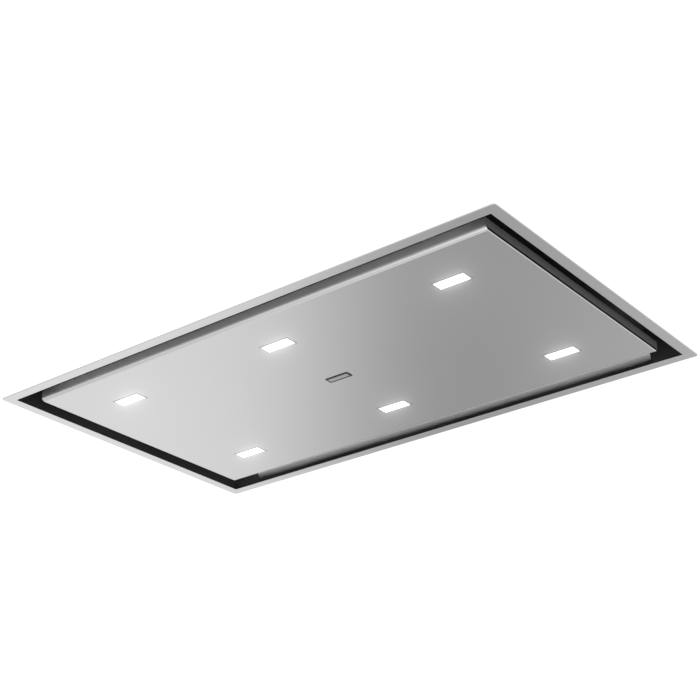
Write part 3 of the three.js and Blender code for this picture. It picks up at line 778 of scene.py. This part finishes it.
@dataclass(frozen=True)
class Fastener:
    """A small fastener whose head is modelled once and copied to its places."""

    radius: float
    height: float
    sides: int
    rounding: float
    socket_radius: float
    socket_depth: float
    washer_radius: float = 0.0
    washer_share: float = 1 / 3
    washer_rounding: float = 0.3

    def head(self, name: str) -> Piece:
        """Models one head, standing on the origin towards +Z.

        Args:
            name: The head's name.

        Returns:
            The head.
        """
        head = self.bar(name, self.radius, self.height, self.sides, self.rounding, 3)
        head.inset(facing(UP), self.radius - self.rounding - self.socket_radius)
        head.pull(lambda centre, normal: normal.z > ALONG and centre.xy.length < SLACK,
                  DOWN * self.socket_depth * MM)
        if self.washer_radius:
            washer = self.bar(f"{name}_rim", self.washer_radius, self.height * self.washer_share,
                              16, self.washer_rounding, 2)
            head = Piece.merged(name, (head, washer))
        return head

    @staticmethod
    def bar(name: str, radius: float, high: float, sides: int, rounding: float,
            steps: int) -> Piece:
        """Models an upright bar on the origin whose top edge is rounded in steps."""
        bar = Piece.rod(name, at(0, 0, high / 2), radius, high, sides, Axis.Z)
        return bar.round_edges(lambda middle, run: middle.z > 0.9 * high * MM, rounding, steps)

    def put(self, name: str, feet: Sequence[Vector], way: Vector = UP, finish: Finish = SCREW_ZINC,
            body: Body = Body.HOOD) -> None:
        """Copies the head to its places, as one dressed piece.

        Args:
            name: The name of the whole group.
            feet: Where each head stands.
            way: Which way the heads point.
            finish: Their finish.
            body: The body that they ride on.
        """
        turn = way.to_track_quat("Z", "Y").to_matrix().to_4x4()
        turns = [Matrix.Translation(foot) @ turn for foot in feet]
        heads = self.head(f"{name}_model").spread(name, turns)
        Piece.merged(name, heads).dress(finish, body=body)


RIVET = Fastener(2.4, 1.1, 12, 0.7, 0.7, 0.5)
PAN_SCREW = Fastener(3.4, 2.2, 14, 1.0, 1.3, 1.1)
HEX_SCREW = Fastener(4.0, 3.4, 6, 0.4, 2.4, 0.5, 5.5)


def spaced(half: float, count: int) -> list[float]:
    """Gives places spaced evenly along a side."""
    return [half * (2 * (i + 0.5) / count - 1) for i in range(count)]


def ring_of(half: Pair, level: float, across: int, deep: int) -> list[Vector]:
    """Spreads places round a rectangle: some across each long side, some along each short one."""
    x, y = half
    return grid(spaced(x, across), (-y, y), level) + grid((-x, x), spaced(y, deep), level)


# --- what is seen from below


LAMP_PLACES = tuple((x, y) for y in (-182.0, 182.0) for x in (-400.0, 0.0, 400.0))


@dataclass(frozen=True)
class TrimFrame:
    """The flat ring against the ceiling."""

    half: Pair = (600.0, 350.0)
    border: float = 21.6
    thickness: float = 2.0
    corner_radius: float = 5.5
    edge: float = 0.35
    inner_edge: float = 0.3

    def build(self) -> None:
        """Models the ring: rounded outer corners, sharp inner ones, a rolled inner edge."""
        ring = Piece.slab("trim_ring", self.half, -self.thickness, 0)
        ring.round_edges(running(UP), self.corner_radius, 6)
        ring.cut(Piece.slab("opening", grown(self.half, -self.border), -9, 9))
        ring.round_edges(self.at_opening, self.inner_edge, 4)
        ring.ease(self.edge, 3, 60.0).dress(FRAME_STEEL, "trim_frame")

    def at_opening(self, middle: Vector, run: Vector) -> bool:
        """Says whether an edge lies on the lower rim of the opening.

        Args:
            middle: The edge's middle.
            run: The edge's way.

        Returns:
            Whether it does.
        """
        x, y = (side * MM + SLACK for side in grown(self.half, -self.border))
        low = middle.z < -self.thickness * MM + SLACK
        return low and abs(run.z) < 1 - ALONG and abs(middle.x) < x and abs(middle.y) < y


@dataclass(frozen=True)
class Casing:
    """The black sheet-metal box behind the slot."""

    half: Pair = (585.0, 335.0)
    top: float = 80.0
    seam_y: float = 326.0
    seam_levels: Row = (15.0, 40.0, 65.0)
    top_x: Pair = (-575.0, 575.0)
    top_y: Row = (-300.0, -100.0, 100.0, 300.0)

    def build(self) -> None:
        """Finishes the box and its ledge frame, with rivets on the corner seams and on top."""
        ease_nodes(BLACK_PAINT, 0.4, "casing", "filter_support")
        for name, sign in SIDES:
            feet = [at(sign * self.half[0], far * self.seam_y, level)
                    for far in SIGNS for level in self.seam_levels]
            RIVET.put(f"seam_rivets_{name}", feet, sign * RIGHT)
        RIVET.put("casing_top_rivets", grid(self.top_x, self.top_y, self.top))


@dataclass(frozen=True)
class AirGuides:
    """The two coves beside the slot."""

    half_length: float = 510.0
    radius: float = 34.0
    centre: Pair = (298.5, 8.0)
    sweep: float = 44.0
    steps: int = 14
    leg: float = 5.0
    sheet: float = 1.0
    trim_wall: float = 0.7

    def build(self) -> None:
        """Models the far cove and its edge profile, then their copies on the near side."""
        half_turn = Matrix.Rotation(math.pi, 4, "Z")
        far, trim = self.cove(), self.trim()
        near = far.copy("air_cove_near", half_turn)
        trim.copy("cove_trim_near", half_turn).dress(BLACK_PLASTIC)
        trim.dress(BLACK_PLASTIC)
        # Both coves take the lightened steel, whose extra lightness is painted light.
        far.dress(GUIDE_STEEL_PAINTED_LIGHT, "air_guide_far")
        near.dress(GUIDE_STEEL_PAINTED_LIGHT, "air_guide_near")

    def trim(self) -> Piece:
        """Models the black profile that is pushed over the cove's lower edge.

        Returns:
            The profile.
        """
        y, z = self.centre
        inside, low, end = y + self.radius, z - self.leg, self.half_length
        trim = Piece.block("cove_trim_far",
                           at(-end - 1, inside - self.trim_wall, low - self.trim_wall),
                           at(end + 1, inside + self.sheet + 0.2, z + 0.5))
        slot = Piece.block("trim_slot", at(-end - 3, inside, low),
                           at(end + 3, inside + self.sheet, z + 3))
        return trim.cut(slot).ease(0.15)

    def cove(self) -> Piece:
        """Spins a narrow strip over, then gives it thickness and round tips.

        Returns:
            The cove.
        """
        y, z = self.centre
        wall = y + self.radius + self.sheet
        cove = Piece.plane("air_cove_far", at(0, wall, z - self.leg / 2),
                           (2 * self.half_length, self.leg), (-math.pi / 2, 0, 0))
        cove.edit(lambda middle, run: middle.z > z * MM - SLACK and abs(run.x) > ALONG, "EDGE")
        bpy.ops.mesh.spin(steps=self.steps, angle=-math.radians(self.sweep), center=at(0, y, z),
                          axis=(1, 0, 0))
        bpy.ops.mesh.select_all(action="SELECT")
        bpy.ops.mesh.remove_doubles(threshold=0.01 * MM)
        bpy.ops.mesh.normals_make_consistent(inside=False)
        return cove.done().thicken(self.sheet).ease(0.3)


@dataclass(frozen=True)
class FrontPanel:
    """The folded stainless tray."""

    half: Pair = (545.0, 292.5)
    depth: float = 23.0
    sheet: float = 0.8
    lip: float = 10.0
    long_bend: float = 8.5
    bend: float = 1.4
    window: Pair = (31.3, 11.8)

    def build(self) -> None:
        """Folds the tray from a block, opens its back and cuts the lamp windows."""
        tray = Piece.slab("steel_tray", self.half, 0, self.depth)
        tray.round_edges(lambda middle, run: middle.z < SLACK and abs(run.x) > ALONG,
                         self.long_bend, 8)
        tray.ease(self.bend, 5)
        tray.inset(facing(UP), self.lip - self.bend)
        tray.remove(field_at([Vector()]))
        tray.thicken(self.sheet)
        for place in sorted(LAMP_PLACES):
            tray.cut(Piece.slab("window_cut", self.window, -3, 3, place))
        tray.dress(PANEL_STEEL, "front_panel", body=Body.PANEL, smooth=30.0)


@dataclass(frozen=True)
class Lamps:
    """The six lit windows, their bezels and bodies."""

    window: Pair = (31.0, 11.5)
    face_border: float = 1.2
    dome: float = 0.12
    rim: float = 3.0
    rim_bottom: float = 1.1
    top: float = 2.3
    gap: float = 0.2
    bezel: float = 3.0
    # Width of the black ring round each bezel: a dark line that stands in for the bezel's shadow on
    # the panel, painted shade.
    seal: float = 0.9

    def build(self) -> None:
        """Models one lamp and copies it to the six places, and finishes bodies and leads."""
        opening, outside = grown(self.window, self.gap), grown(self.window, self.bezel)
        bezel = Piece.rim("bezel_model", opening, self.bezel, -0.6, 0.6).ease(0.35)
        # The black ring round each bezel draws the bezel's shadow on the panel as a dark line:
        # painted shade.
        seal = Piece.rim("seal_model", outside, self.seal, -0.3, 0.5).ease(0.1, 1)
        lens = self.lens()
        for index, (x, y) in enumerate(LAMP_PLACES, start=1):
            spot = Matrix.Translation(at(x, y, 0))
            window = lens.copy(f"lamp_window_{index}", spot)
            window.dress(WINDOW, f"lamp_lens_{index}", body=Body.PANEL)
            bezel.copy(f"lamp_bezel_{index}", spot).dress(BEZEL, body=Body.PANEL)
            seal.copy(f"lamp_seal_{index}", spot).dress(BLACK_PLASTIC, body=Body.PANEL)
        for model in (lens, bezel, seal):
            bpy.data.objects.remove(model.item)
        housings = (f"lamp_housing_{i + 1}" for i in range(len(LAMP_PLACES)))
        ease_nodes(WHITE_PLASTIC, 0.8, *housings, body=Body.PANEL)
        ease_nodes(GREY_PLASTIC, 0.1, "lamp_harness", body=Body.PANEL)

    def lens(self) -> Piece:
        """Models the diffuser: a slightly domed face with a rim behind the panel.

        Returns:
            The diffuser.
        """
        face = Piece.slab("lens_model", self.window, 0, self.top)
        face.inset(facing(DOWN), self.face_border, self.dome)
        rim = Piece.slab("lens_rim", grown(self.window, self.rim), self.rim_bottom, self.top)
        return Piece.merged("lens_model", (face, rim)).ease(0.3)


@dataclass(frozen=True)
class Badge:
    """The bare plate in the panel's middle."""

    half: Pair = (27.5, 9.5)
    field: Pair = (23.5, 5.5)
    bottom: float = -0.9
    top: float = -0.3
    proud: float = 0.2
    corner_radius: float = 1.5

    def build(self) -> None:
        """Models a black plate with a steel field set in it."""
        plate = Piece.slab("badge_plate", self.half, self.bottom, self.top)
        plate.round_edges(running(UP), self.corner_radius, 4)
        plate.ease(0.12).dress(BADGE_RIM, "blank_badge", body=Body.PANEL)
        field = Piece.slab("badge_field", self.field, self.bottom - self.proud, self.top)
        field.inset(facing(DOWN), 0.4, 0.12).ease(0.1).dress(BADGE_STEEL, body=Body.PANEL)


# --- the panel's back


@dataclass(frozen=True)
class PanelBack:
    """Cover sheet, hinges and catches behind the panel."""

    half: Pair = (542.7, 290.2)
    bottom: float = 4.6
    top: float = 17.8
    sheet: float = 0.6
    field_x: Row = (-500.0, -180.0, -160.0, 160.0, 180.0, 500.0)
    field_y: Row = (-240.0, -10.0, 10.0, 240.0)
    sink: float = 1.2
    rivets: Pair = (526.0, 276.0)
    hardware_x: float = 430.0
    leaf_y: float = 272.5
    leaf_screws: Pair = (14.0, 7.0)
    leaf_top: float = 19.6
    foot_y: float = 242.0
    post_y: float = -267.0
    post_screws: float = 8.0
    foot_level: float = 77.0

    def build(self) -> None:
        """Builds the liner, the hinges and the catches."""
        self.liner()
        self.hinges()
        self.catches()

    def liner(self) -> None:
        """Models the cover sheet with six pressed fields and a row of rivets."""
        sheet = Piece.slab("liner_sheet", self.half, self.bottom, self.top)
        sheet.ease(1.2, 3).remove(facing(DOWN))
        sheet.divide(RIGHT, self.field_x).divide(FAR, self.field_y)
        middles = ([(low + high) / 2 for low, high in zip(cuts[::2], cuts[1::2])]
                   for cuts in (self.field_x, self.field_y))
        sheet.press(field_at(grid(*middles, self.top)), 8, 2, self.sink)
        sheet.thicken(self.sheet).dress(LINER, "panel_liner", body=Body.PANEL, smooth=40.0)
        RIVET.put("liner_rivets", ring_of(self.rivets, self.top, 7, 4), UP, ALUMINIUM, Body.PANEL)

    def hinges(self) -> None:
        """Finishes the hinges and adds their screws."""
        for side, sign in SIDES:
            across = beside(sign * self.hardware_x, self.leaf_screws[0])
            ease_nodes(ZINC, 0.3, f"hinge_bracket_{side}")
            ease_nodes(ZINC, 0.25, f"hinge_leaf_{side}", f"hinge_pin_{side}", body=Body.PANEL)
            leaf = grid(across, beside(self.leaf_y, self.leaf_screws[1]), self.leaf_top)
            PAN_SCREW.put(f"hinge_screws_{side}", leaf, body=Body.PANEL)
            foot = grid(across, [self.foot_y], self.foot_level)
            PAN_SCREW.put(f"hinge_foot_screws_{side}", foot, DOWN)

    def catches(self) -> None:
        """Finishes the magnetic catches and adds their screws."""
        for side, sign in SIDES:
            ease_nodes(ZINC, 0.3, f"catch_post_{side}")
            ease_nodes(MAGNET, 0.5, f"catch_magnet_{side}")
            ease_nodes(ZINC, 0.3, f"catch_keeper_{side}", body=Body.PANEL)
            across = beside(sign * self.hardware_x, self.post_screws)
            feet = grid(across, [self.post_y], self.foot_level)
            PAN_SCREW.put(f"catch_screws_{side}", feet, DOWN)


@dataclass(frozen=True)
class GreaseCassette:
    """One lift-out cassette."""

    index: int
    centre_x: float
    catch: Body
    half: Pair = (148.0, 186.0)
    bottom: float = 65.3
    bar: float = 12.0
    rivet_half: Pair = (133.0, 180.0)
    groove: Row = (9.0, 0.2, 0.3)
    layers: Row = (67.6, 69.8, 72.0)
    layer_thickness: float = 0.25
    lap: float = 0.2
    notch_half: float = 22.0
    notch_end: float = -152.5

    def build(self) -> None:
        """Finishes the frame and catch, and lays the expanded metal."""
        frame_name = f"filter_frame_{self.index}"
        border = Piece.from_node(frame_name).cut(*self.mitres())
        border.ease(0.35).dress(ALUMINIUM, frame_name)
        x, y = self.rivet_half
        rivets = grid(beside(self.centre_x, x), (-y, y), self.bottom)
        RIVET.put(f"cassette_rivets_{self.index}", rivets, DOWN, ALUMINIUM)
        for number, level in enumerate(self.layers, start=1):
            self.layer(number, level)
        ease_nodes(BLACK_PLASTIC, 0.4, f"filter_latch_{self.index}", body=self.catch)

    def mitres(self) -> list[Piece]:
        """Models the fine grooves that are cut where the bars meet.

        Returns:
            The grooves' tools.
        """
        long, wide, deep = self.groove
        x, y = grown(self.half, -self.bar / 2)
        turns = [Matrix.Translation(at(self.centre_x + sx * x, sy * y, self.bottom))
                 @ Matrix.Rotation(math.radians(45 * sx * sy), 4, "Z")
                 for sx in SIGNS for sy in SIGNS]
        return Piece.slab("mitre", (long, wide), -deep, deep).spread("mitre", turns)

    def layer(self, number: int, level: float) -> None:
        """Lays one sheet of expanded metal, notched round the catch.

        Args:
            number: Which layer.
            level: Its height.
        """
        x, y = grown(self.half, self.lap - self.bar)
        sheet = Piece.slab(f"expanded_metal_{self.index}_{number}", (x, y), level,
                           level + self.layer_thickness, (self.centre_x, 0.0))
        left, right = beside(self.centre_x, self.notch_half)
        sheet.cut(Piece.block("notch", at(left, -y - 5, 60), at(right, self.notch_end, 80)))
        nodes = (f"filter_mesh_{self.index}",) if number == 1 else ()
        sheet.dress(MESH_FINISHES[number - 1], *nodes)


# --- above the ceiling


@dataclass(frozen=True)
class BlowerHousing:
    """The galvanised box on top of the casing."""

    flange_half: Pair = (331.0, 221.0)
    flange_top: float = 81.3
    lid_half: Pair = (326.3, 216.3)
    lid_bottom: float = 285.6
    lid_top: float = 301.6
    lid_sheet: float = 1.0
    field_x: float = 163.0
    screw_level: float = 292.6
    screw_x: Row = (-280.0, -100.0, 100.0, 280.0)
    screw_y: Row = (-170.0, 0.0, 170.0)

    def build(self) -> None:
        """Finishes the box, models its lid and adds the screws."""
        ease_nodes(GALVANISED, 0.3, "motor_box")
        self.lid()
        HEX_SCREW.put("flange_screws", ring_of(self.flange_half, self.flange_top, 6, 4))
        x, y = self.lid_half
        for name, sign in (("far", 1), ("near", -1)):
            feet = grid(self.screw_x, [sign * y], self.screw_level)
            PAN_SCREW.put(f"lid_screws_{name}", feet, sign * FAR)
        for name, sign in SIDES:
            feet = grid([sign * x], self.screw_y, self.screw_level)
            PAN_SCREW.put(f"lid_screws_{name}", feet, sign * RIGHT)

    def lid(self) -> None:
        """Models the lid as a folded tray with two pressed fields."""
        lid = Piece.slab("housing_lid", self.lid_half, self.lid_bottom, self.lid_top)
        lid.ease(1.2, 3).remove(facing(DOWN)).divide(RIGHT, [0])
        lid.press(field_at(grid(beside(0, self.field_x), [0], self.lid_top)), 30, 2.5, 1.4)
        lid.thicken(self.lid_sheet).dress(GALVANISED, "motor_box_lid", smooth=40.0)


@dataclass(frozen=True)
class Blower:
    """Scroll, wheel, motor and what carries them."""

    centre: Pair = (-131.77, -40.57)
    screw_circle: float = 38.0
    spider_top: float = 247.3

    def build(self) -> None:
        """Finishes the blower and adds the motor's screws."""
        ease_nodes(GALVANISED, 0.3, "fan_scroll")
        ease_nodes(ZINC, 0.3, "blower_rail_left", "blower_rail_right", "motor_spider")
        ease_nodes(ZINC, 0.8, "fan_motor")
        ease_nodes(BLACK_PLASTIC, 0.2, "impeller", body=Body.WHEEL)
        (x, y), radius = self.centre, self.screw_circle
        turns = (2 * math.pi * (step + 0.5) / 3 for step in range(3))
        PAN_SCREW.put("spider_screws", [
            at(x + radius * math.cos(turn), y + radius * math.sin(turn), self.spider_top)
            for turn in turns])


@dataclass(frozen=True)
class DuctOutlet:
    """Collar and non-return flaps."""

    level: float = 175.0
    plate_face: float = 217.3
    screw_offset: float = 82.0
    bead_y: float = 272.0
    bead: Pair = (74.8, 76.6)
    bead_length: float = 4.0

    def build(self) -> None:
        """Finishes the collar and flaps and adds the screws and the rounded stop ring."""
        ease_nodes(BLACK_PLASTIC, 0.5, "duct_collar")
        ease_nodes(ZINC, 0.3, "flap_pin")
        ease_nodes(GREY_PLASTIC, 0.25, "backdraft_flap_left", body=Body.FLAP_LEFT)
        ease_nodes(GREY_PLASTIC, 0.25, "backdraft_flap_right", body=Body.FLAP_RIGHT)
        feet = [at(x, self.plate_face, z) for x in beside(0, self.screw_offset)
                for z in beside(self.level, self.screw_offset)]
        PAN_SCREW.put("collar_screws", feet, FAR)
        (inner, outer), middle = self.bead, at(0, self.bead_y, self.level)
        ring = Piece.rod("collar_bead", middle, outer, self.bead_length, 64)
        ring.cut(Piece.rod("bead_cut", middle, inner, 20, 64))
        ring.ease(1.3, 3).dress(BLACK_PLASTIC, smooth=50.0)


@dataclass(frozen=True)
class Electronics:
    """Control box, board, cable gland and lamp supply."""

    box_x: float = 461.0
    lid_screws: Pair = (68.0, 103.0)
    lid_top: float = 127.6
    driver_screws: Pair = (14.0, 88.5)
    driver_foot: float = 83.3
    terminal: Row = (17.0, 7.0, 6.0)
    terminal_y: float = 74.0
    terminal_bottom: float = 107.9
    board_top: float = 90.2
    gland_level: float = 102.8
    gland_parts: tuple[Row, ...] = (
        (114.5, 7.0, 23.6, 32), (114.8, 11.0, 9.0, 6), (105.2, 11.0, 5.0, 6),
    )
    gland_bore: Row = (110.3, 4.5, 80.0, 32)
    board_parts: tuple[Row, ...] = (
        (-40, -60, 9.5, 7.5, 15), (-40, -38, 9.5, 7.5, 15), (-12, -66, 5, 8, 4),
        (24, -80, 20, 4, 9), (38, -40, 7, 7, 3), (-48, 10, 5, 12, 12),
    )

    def build(self) -> None:
        """Finishes each box and adds screws, parts on the board, the gland and terminals."""
        ease_nodes(GREY_PLASTIC, 0.8, "control_box", "control_box_lid")
        ease_nodes(BOARD_GREEN, 0.2, "control_board")
        ease_nodes(WHITE_PLASTIC, 1.0, "led_driver")
        x, y = self.lid_screws
        PAN_SCREW.put("control_lid_screws", grid(beside(self.box_x, x), (-y, y), self.lid_top))
        x, y = self.driver_screws
        PAN_SCREW.put("driver_screws", grid(beside(-self.box_x, x), (-y, y), self.driver_foot))
        self.gland()
        self.relays()
        self.terminals()

    def gland(self) -> None:
        """Models the gland with a hexagon nut on each side of the wall."""
        parts = [Piece.rod("gland_part", at(self.box_x, y, self.gland_level), radius, length, sides)
                 for y, radius, length, sides in (*self.gland_parts, self.gland_bore)]
        body = Piece.merged("gland_body", parts[:-1]).cut(parts[-1])
        body.ease(0.6, 3).dress(BLACK_PLASTIC, "cable_gland")

    def relays(self) -> None:
        """Models relays, a chip and plug rows on the board."""
        low = self.board_top
        parts = [Piece.slab("board_part", (wide, deep), low, low + high, (self.box_x + x, y))
                 for x, y, wide, deep, high in self.board_parts]
        Piece.merged("board_parts", parts).ease(0.5).dress(BLACK_PLASTIC)

    def terminals(self) -> None:
        """Models the terminal blocks at the supply's ends."""
        (wide, deep, high), low = self.terminal, self.terminal_bottom
        blocks = [Piece.slab("terminal", (wide, deep), low, low + high, (-self.box_x, y))
                  for y in beside(0, self.terminal_y)]
        both = Piece.merged("driver_terminals", blocks)
        both.inset(facing(UP), 1.5, -1.5, apart=True).ease(0.4).dress(GREY_PLASTIC)


@dataclass(frozen=True)
class HangingBrackets:
    """The four slotted brackets."""

    screw_x: Row = (-551.0, -515.0, 515.0, 551.0)
    screw_y: Pair = (-285.0, 285.0)
    plate_top: float = 82.8

    def build(self) -> None:
        """Finishes the brackets and adds two screws to each."""
        ease_nodes(ZINC, 0.4, *(f"hanging_bracket_{i}" for i in range(1, 5)))
        HEX_SCREW.put("bracket_screws", grid(self.screw_x, self.screw_y, self.plate_top))


# --- studio


@dataclass
class Studio:
    """Camera, light, floor and ceiling. Places, and the floor's level and fade, are in metres."""

    camera_place: Vector = field(default_factory=lambda: Vector((1.6466, -2.0205, -1.2206)))
    camera_look: Vector = field(default_factory=lambda: Vector((-0.5611, 0.7005, 0.4410)))
    lens_mm: float = 75.04
    sensor_mm: float = 36.0
    floor_level: float = -1.65
    floor_grey: Colour = (0.86, 0.86, 0.86)
    floor_sides: Pair = (24000.0, 24000.0)
    floor_fade: Pair = (2.5, 9.0)
    sky: tuple[Pair, ...] = (
        (-180, 0.95), (-155, 1.1), (-130, 0.62), (-112, 0.95), (-90, 0.97), (-70, 0.82),
        (-40, 0.85), (-14, 1.06), (-5, 1.05), (-1, 0.76), (2, 0.4), (6, 0.4), (10, 0.52),
        (30, 0.9), (50, 1.2), (78, 1.25), (94, 0.68), (108, 0.8), (130, 1.15), (155, 0.7),
        (180, 0.95),
    )
    upper_sky: tuple[Pair, ...] = (
        (-180, 0.85), (-120, 0.85), (-60, 0.62), (0, 0.5), (60, 0.68), (120, 0.85), (180, 0.85),
    )
    upper_rise: Pair = (-0.15, 0.1)
    low_glow: tuple[Pair, ...] = ((-180, 0.0), (-160, 2.4), (-115, 2.4), (-92, 0.0), (180, 0.0))
    glow_rise: Pair = (-0.85, -0.62)
    ceiling_opening: Pair = (1190.0, 690.0)
    ceiling_margin: float = 5000.0
    ceiling_level: float = 0.05

    def build(self) -> None:
        """Sets up everything round the object."""
        self.camera()
        self.bloom()
        self.world()
        self.lamps()
        self.floor()
        self.ceiling()

    @staticmethod
    def aim(name: str, data: bpy.types.ID, place: Vector, look: Vector) -> bpy.types.Object:
        """Adds a camera or lamp that looks one way.

        Args:
            name: Its name.
            data: What it is.
            place: Where it stands.
            look: Which way it looks.

        Returns:
            The camera or lamp.
        """
        item = bpy.data.objects.new(name, data)
        bpy.context.scene.collection.objects.link(item)
        item.location = place
        item.rotation_mode = "QUATERNION"
        item.rotation_quaternion = look.to_track_quat("-Z", "Y")
        return item

    def camera(self) -> None:
        """Places the camera where the photograph was taken from."""
        data = bpy.data.cameras.new("camera")
        data.lens, data.sensor_width = self.lens_mm, self.sensor_mm
        bpy.context.scene.camera = self.aim("camera", data, self.camera_place, self.camera_look)
        bpy.context.scene.view_settings.view_transform = "Standard"

    @staticmethod
    def bloom() -> None:
        """Adds the lens's faint glow round the lit windows."""
        scene = bpy.context.scene
        scene.use_nodes = True
        tree = scene.node_tree
        tree.nodes.clear()
        layers, glare, result = (tree.nodes.new("CompositorNode" + kind)
                                 for kind in ("RLayers", "Glare", "Composite"))
        glare.glare_type, glare.quality = "BLOOM", "HIGH"
        settings = {"Threshold": 1.15, "Smoothness": 0.05, "Strength": 1.0, "Size": 0.2}
        for key, value in settings.items():
            glare.inputs[key].default_value = value
        tree.links.new(layers.outputs["Image"], glare.inputs["Image"])
        tree.links.new(glare.outputs["Image"], result.inputs["Image"])

    def world(self) -> None:
        """White behind the object; its light is a soft room, darker to one side of the view."""
        world = bpy.data.worlds.new("studio")
        world.use_nodes = True
        bpy.context.scene.world = world
        graph = Graph(world.node_tree)
        way = graph.node("TexCoord")["Generated"]
        ahead = Vector((self.camera_look.x, self.camera_look.y, 0.0)).normalized()
        forward, sideways = (
            graph.node("VectorMath", {"operation": "DOT_PRODUCT"}, _0=way, _1=axis)["Value"]
            for axis in (ahead, ahead.cross(UP)))
        share = (graph.math("ARCTAN2", sideways, forward) + math.pi) * (0.5 / math.pi)
        below, above, glow = (graph.node("ValToRGB", {"stops": sky}, _0=share)
                              for sky in (self.sky, self.upper_sky, self.low_glow))
        height = graph.node("SeparateXYZ", _0=way)[2]
        below += glow * graph.ranged(height, *self.glow_rise, (1.0, 0.0))
        level = below + graph.ranged(height, *self.upper_rise) * (above - below)
        seen = graph.node("LightPath")["Is Camera Ray"]
        light = graph.node("Background", Color=level, Strength=1.0)
        white = graph.node("Background", Color=WHITE, Strength=WHITE_GLOW)
        graph.node("OutputWorld", Surface=graph.node("MixShader", _0=seen, _1=light, _2=white))

    def lamps(self) -> None:
        """Two large soft lights high on the left and on the right."""
        for name, place, size, power in (
            ("key", Vector((-2.2, -2.0, 2.6)), 2.0, 70.0),
            ("fill", Vector((2.4, -1.6, 1.6)), 2.5, 25.0),
        ):
            data = bpy.data.lights.new(name, "AREA")
            data.size, data.energy = size, power
            self.aim(name, data, place, -place).visible_glossy = False

    @staticmethod
    def one_sided(graph: Graph, front: Signal) -> Signal:
        """Lets a surface show from its front only."""
        back, side = graph.node("BsdfTransparent"), graph.node("NewGeometry")["Backfacing"]
        return graph.node("MixShader", _0=side, _1=front, _2=back)

    def floor_surface(self, graph: Graph) -> Signal:
        """Gives a pale floor that fades to white far away.

        Args:
            graph: The graph of its material.

        Returns:
            Its shader.
        """
        lit = graph.node("BsdfPrincipled", Base_Color=(*self.floor_grey, 1.0), Roughness=0.8)
        white = graph.node("Emission", Color=WHITE, Strength=WHITE_GLOW)
        away = graph.node("VectorMath", {"operation": "LENGTH"}, _0=graph.place())["Value"]
        fade = graph.ranged(away, *self.floor_fade)
        return self.one_sided(graph, graph.node("MixShader", _0=fade, _1=lit, _2=white))

    def ceiling_surface(self, graph: Graph) -> Signal:
        """Gives an even white that no light changes."""
        return self.one_sided(graph, graph.node("Emission", Color=WHITE, Strength=WHITE_GLOW))

    def floor(self) -> None:
        """A pale floor far below the hood."""
        floor = Piece.plane("floor", Vector(), self.floor_sides).item
        floor.location.z = self.floor_level
        floor.data.materials.append(material("floor", self.floor_surface))
        floor.visible_glossy = floor.visible_diffuse = False

    def ceiling(self) -> None:
        """The white ceiling round the trim frame, seen from below only, as in the photograph."""
        margin = self.ceiling_margin
        sides = grown(self.ceiling_opening, 2 * margin)
        board = Piece.plane("ceiling", at(0, 0, self.ceiling_level), sides)
        board.inset(facing(UP), margin)
        board.remove(field_at([Vector()]))
        board.work(bpy.ops.mesh.flip_normals, every)
        board.item.data.materials.append(material("ceiling", self.ceiling_surface))
        for rays in ("diffuse", "glossy", "transmission", "shadow"):
            setattr(board.item, f"visible_{rays}", False)


def main() -> None:
    """Builds the studio and each sub-assembly in order."""
    logging.basicConfig(level=logging.INFO, format="%(message)s")
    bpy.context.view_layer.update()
    Studio().build()
    subassemblies = (
        TrimFrame(), Casing(), AirGuides(), FrontPanel(), Lamps(), Badge(), PanelBack(),
        GreaseCassette(1, -149.5, Body.CATCH_1), GreaseCassette(2, 149.5, Body.CATCH_2),
        BlowerHousing(), Blower(), DuctOutlet(), Electronics(), HangingBrackets(),
    )
    for part in subassemblies:
        part.build()


if __name__ == "__main__":
    main()
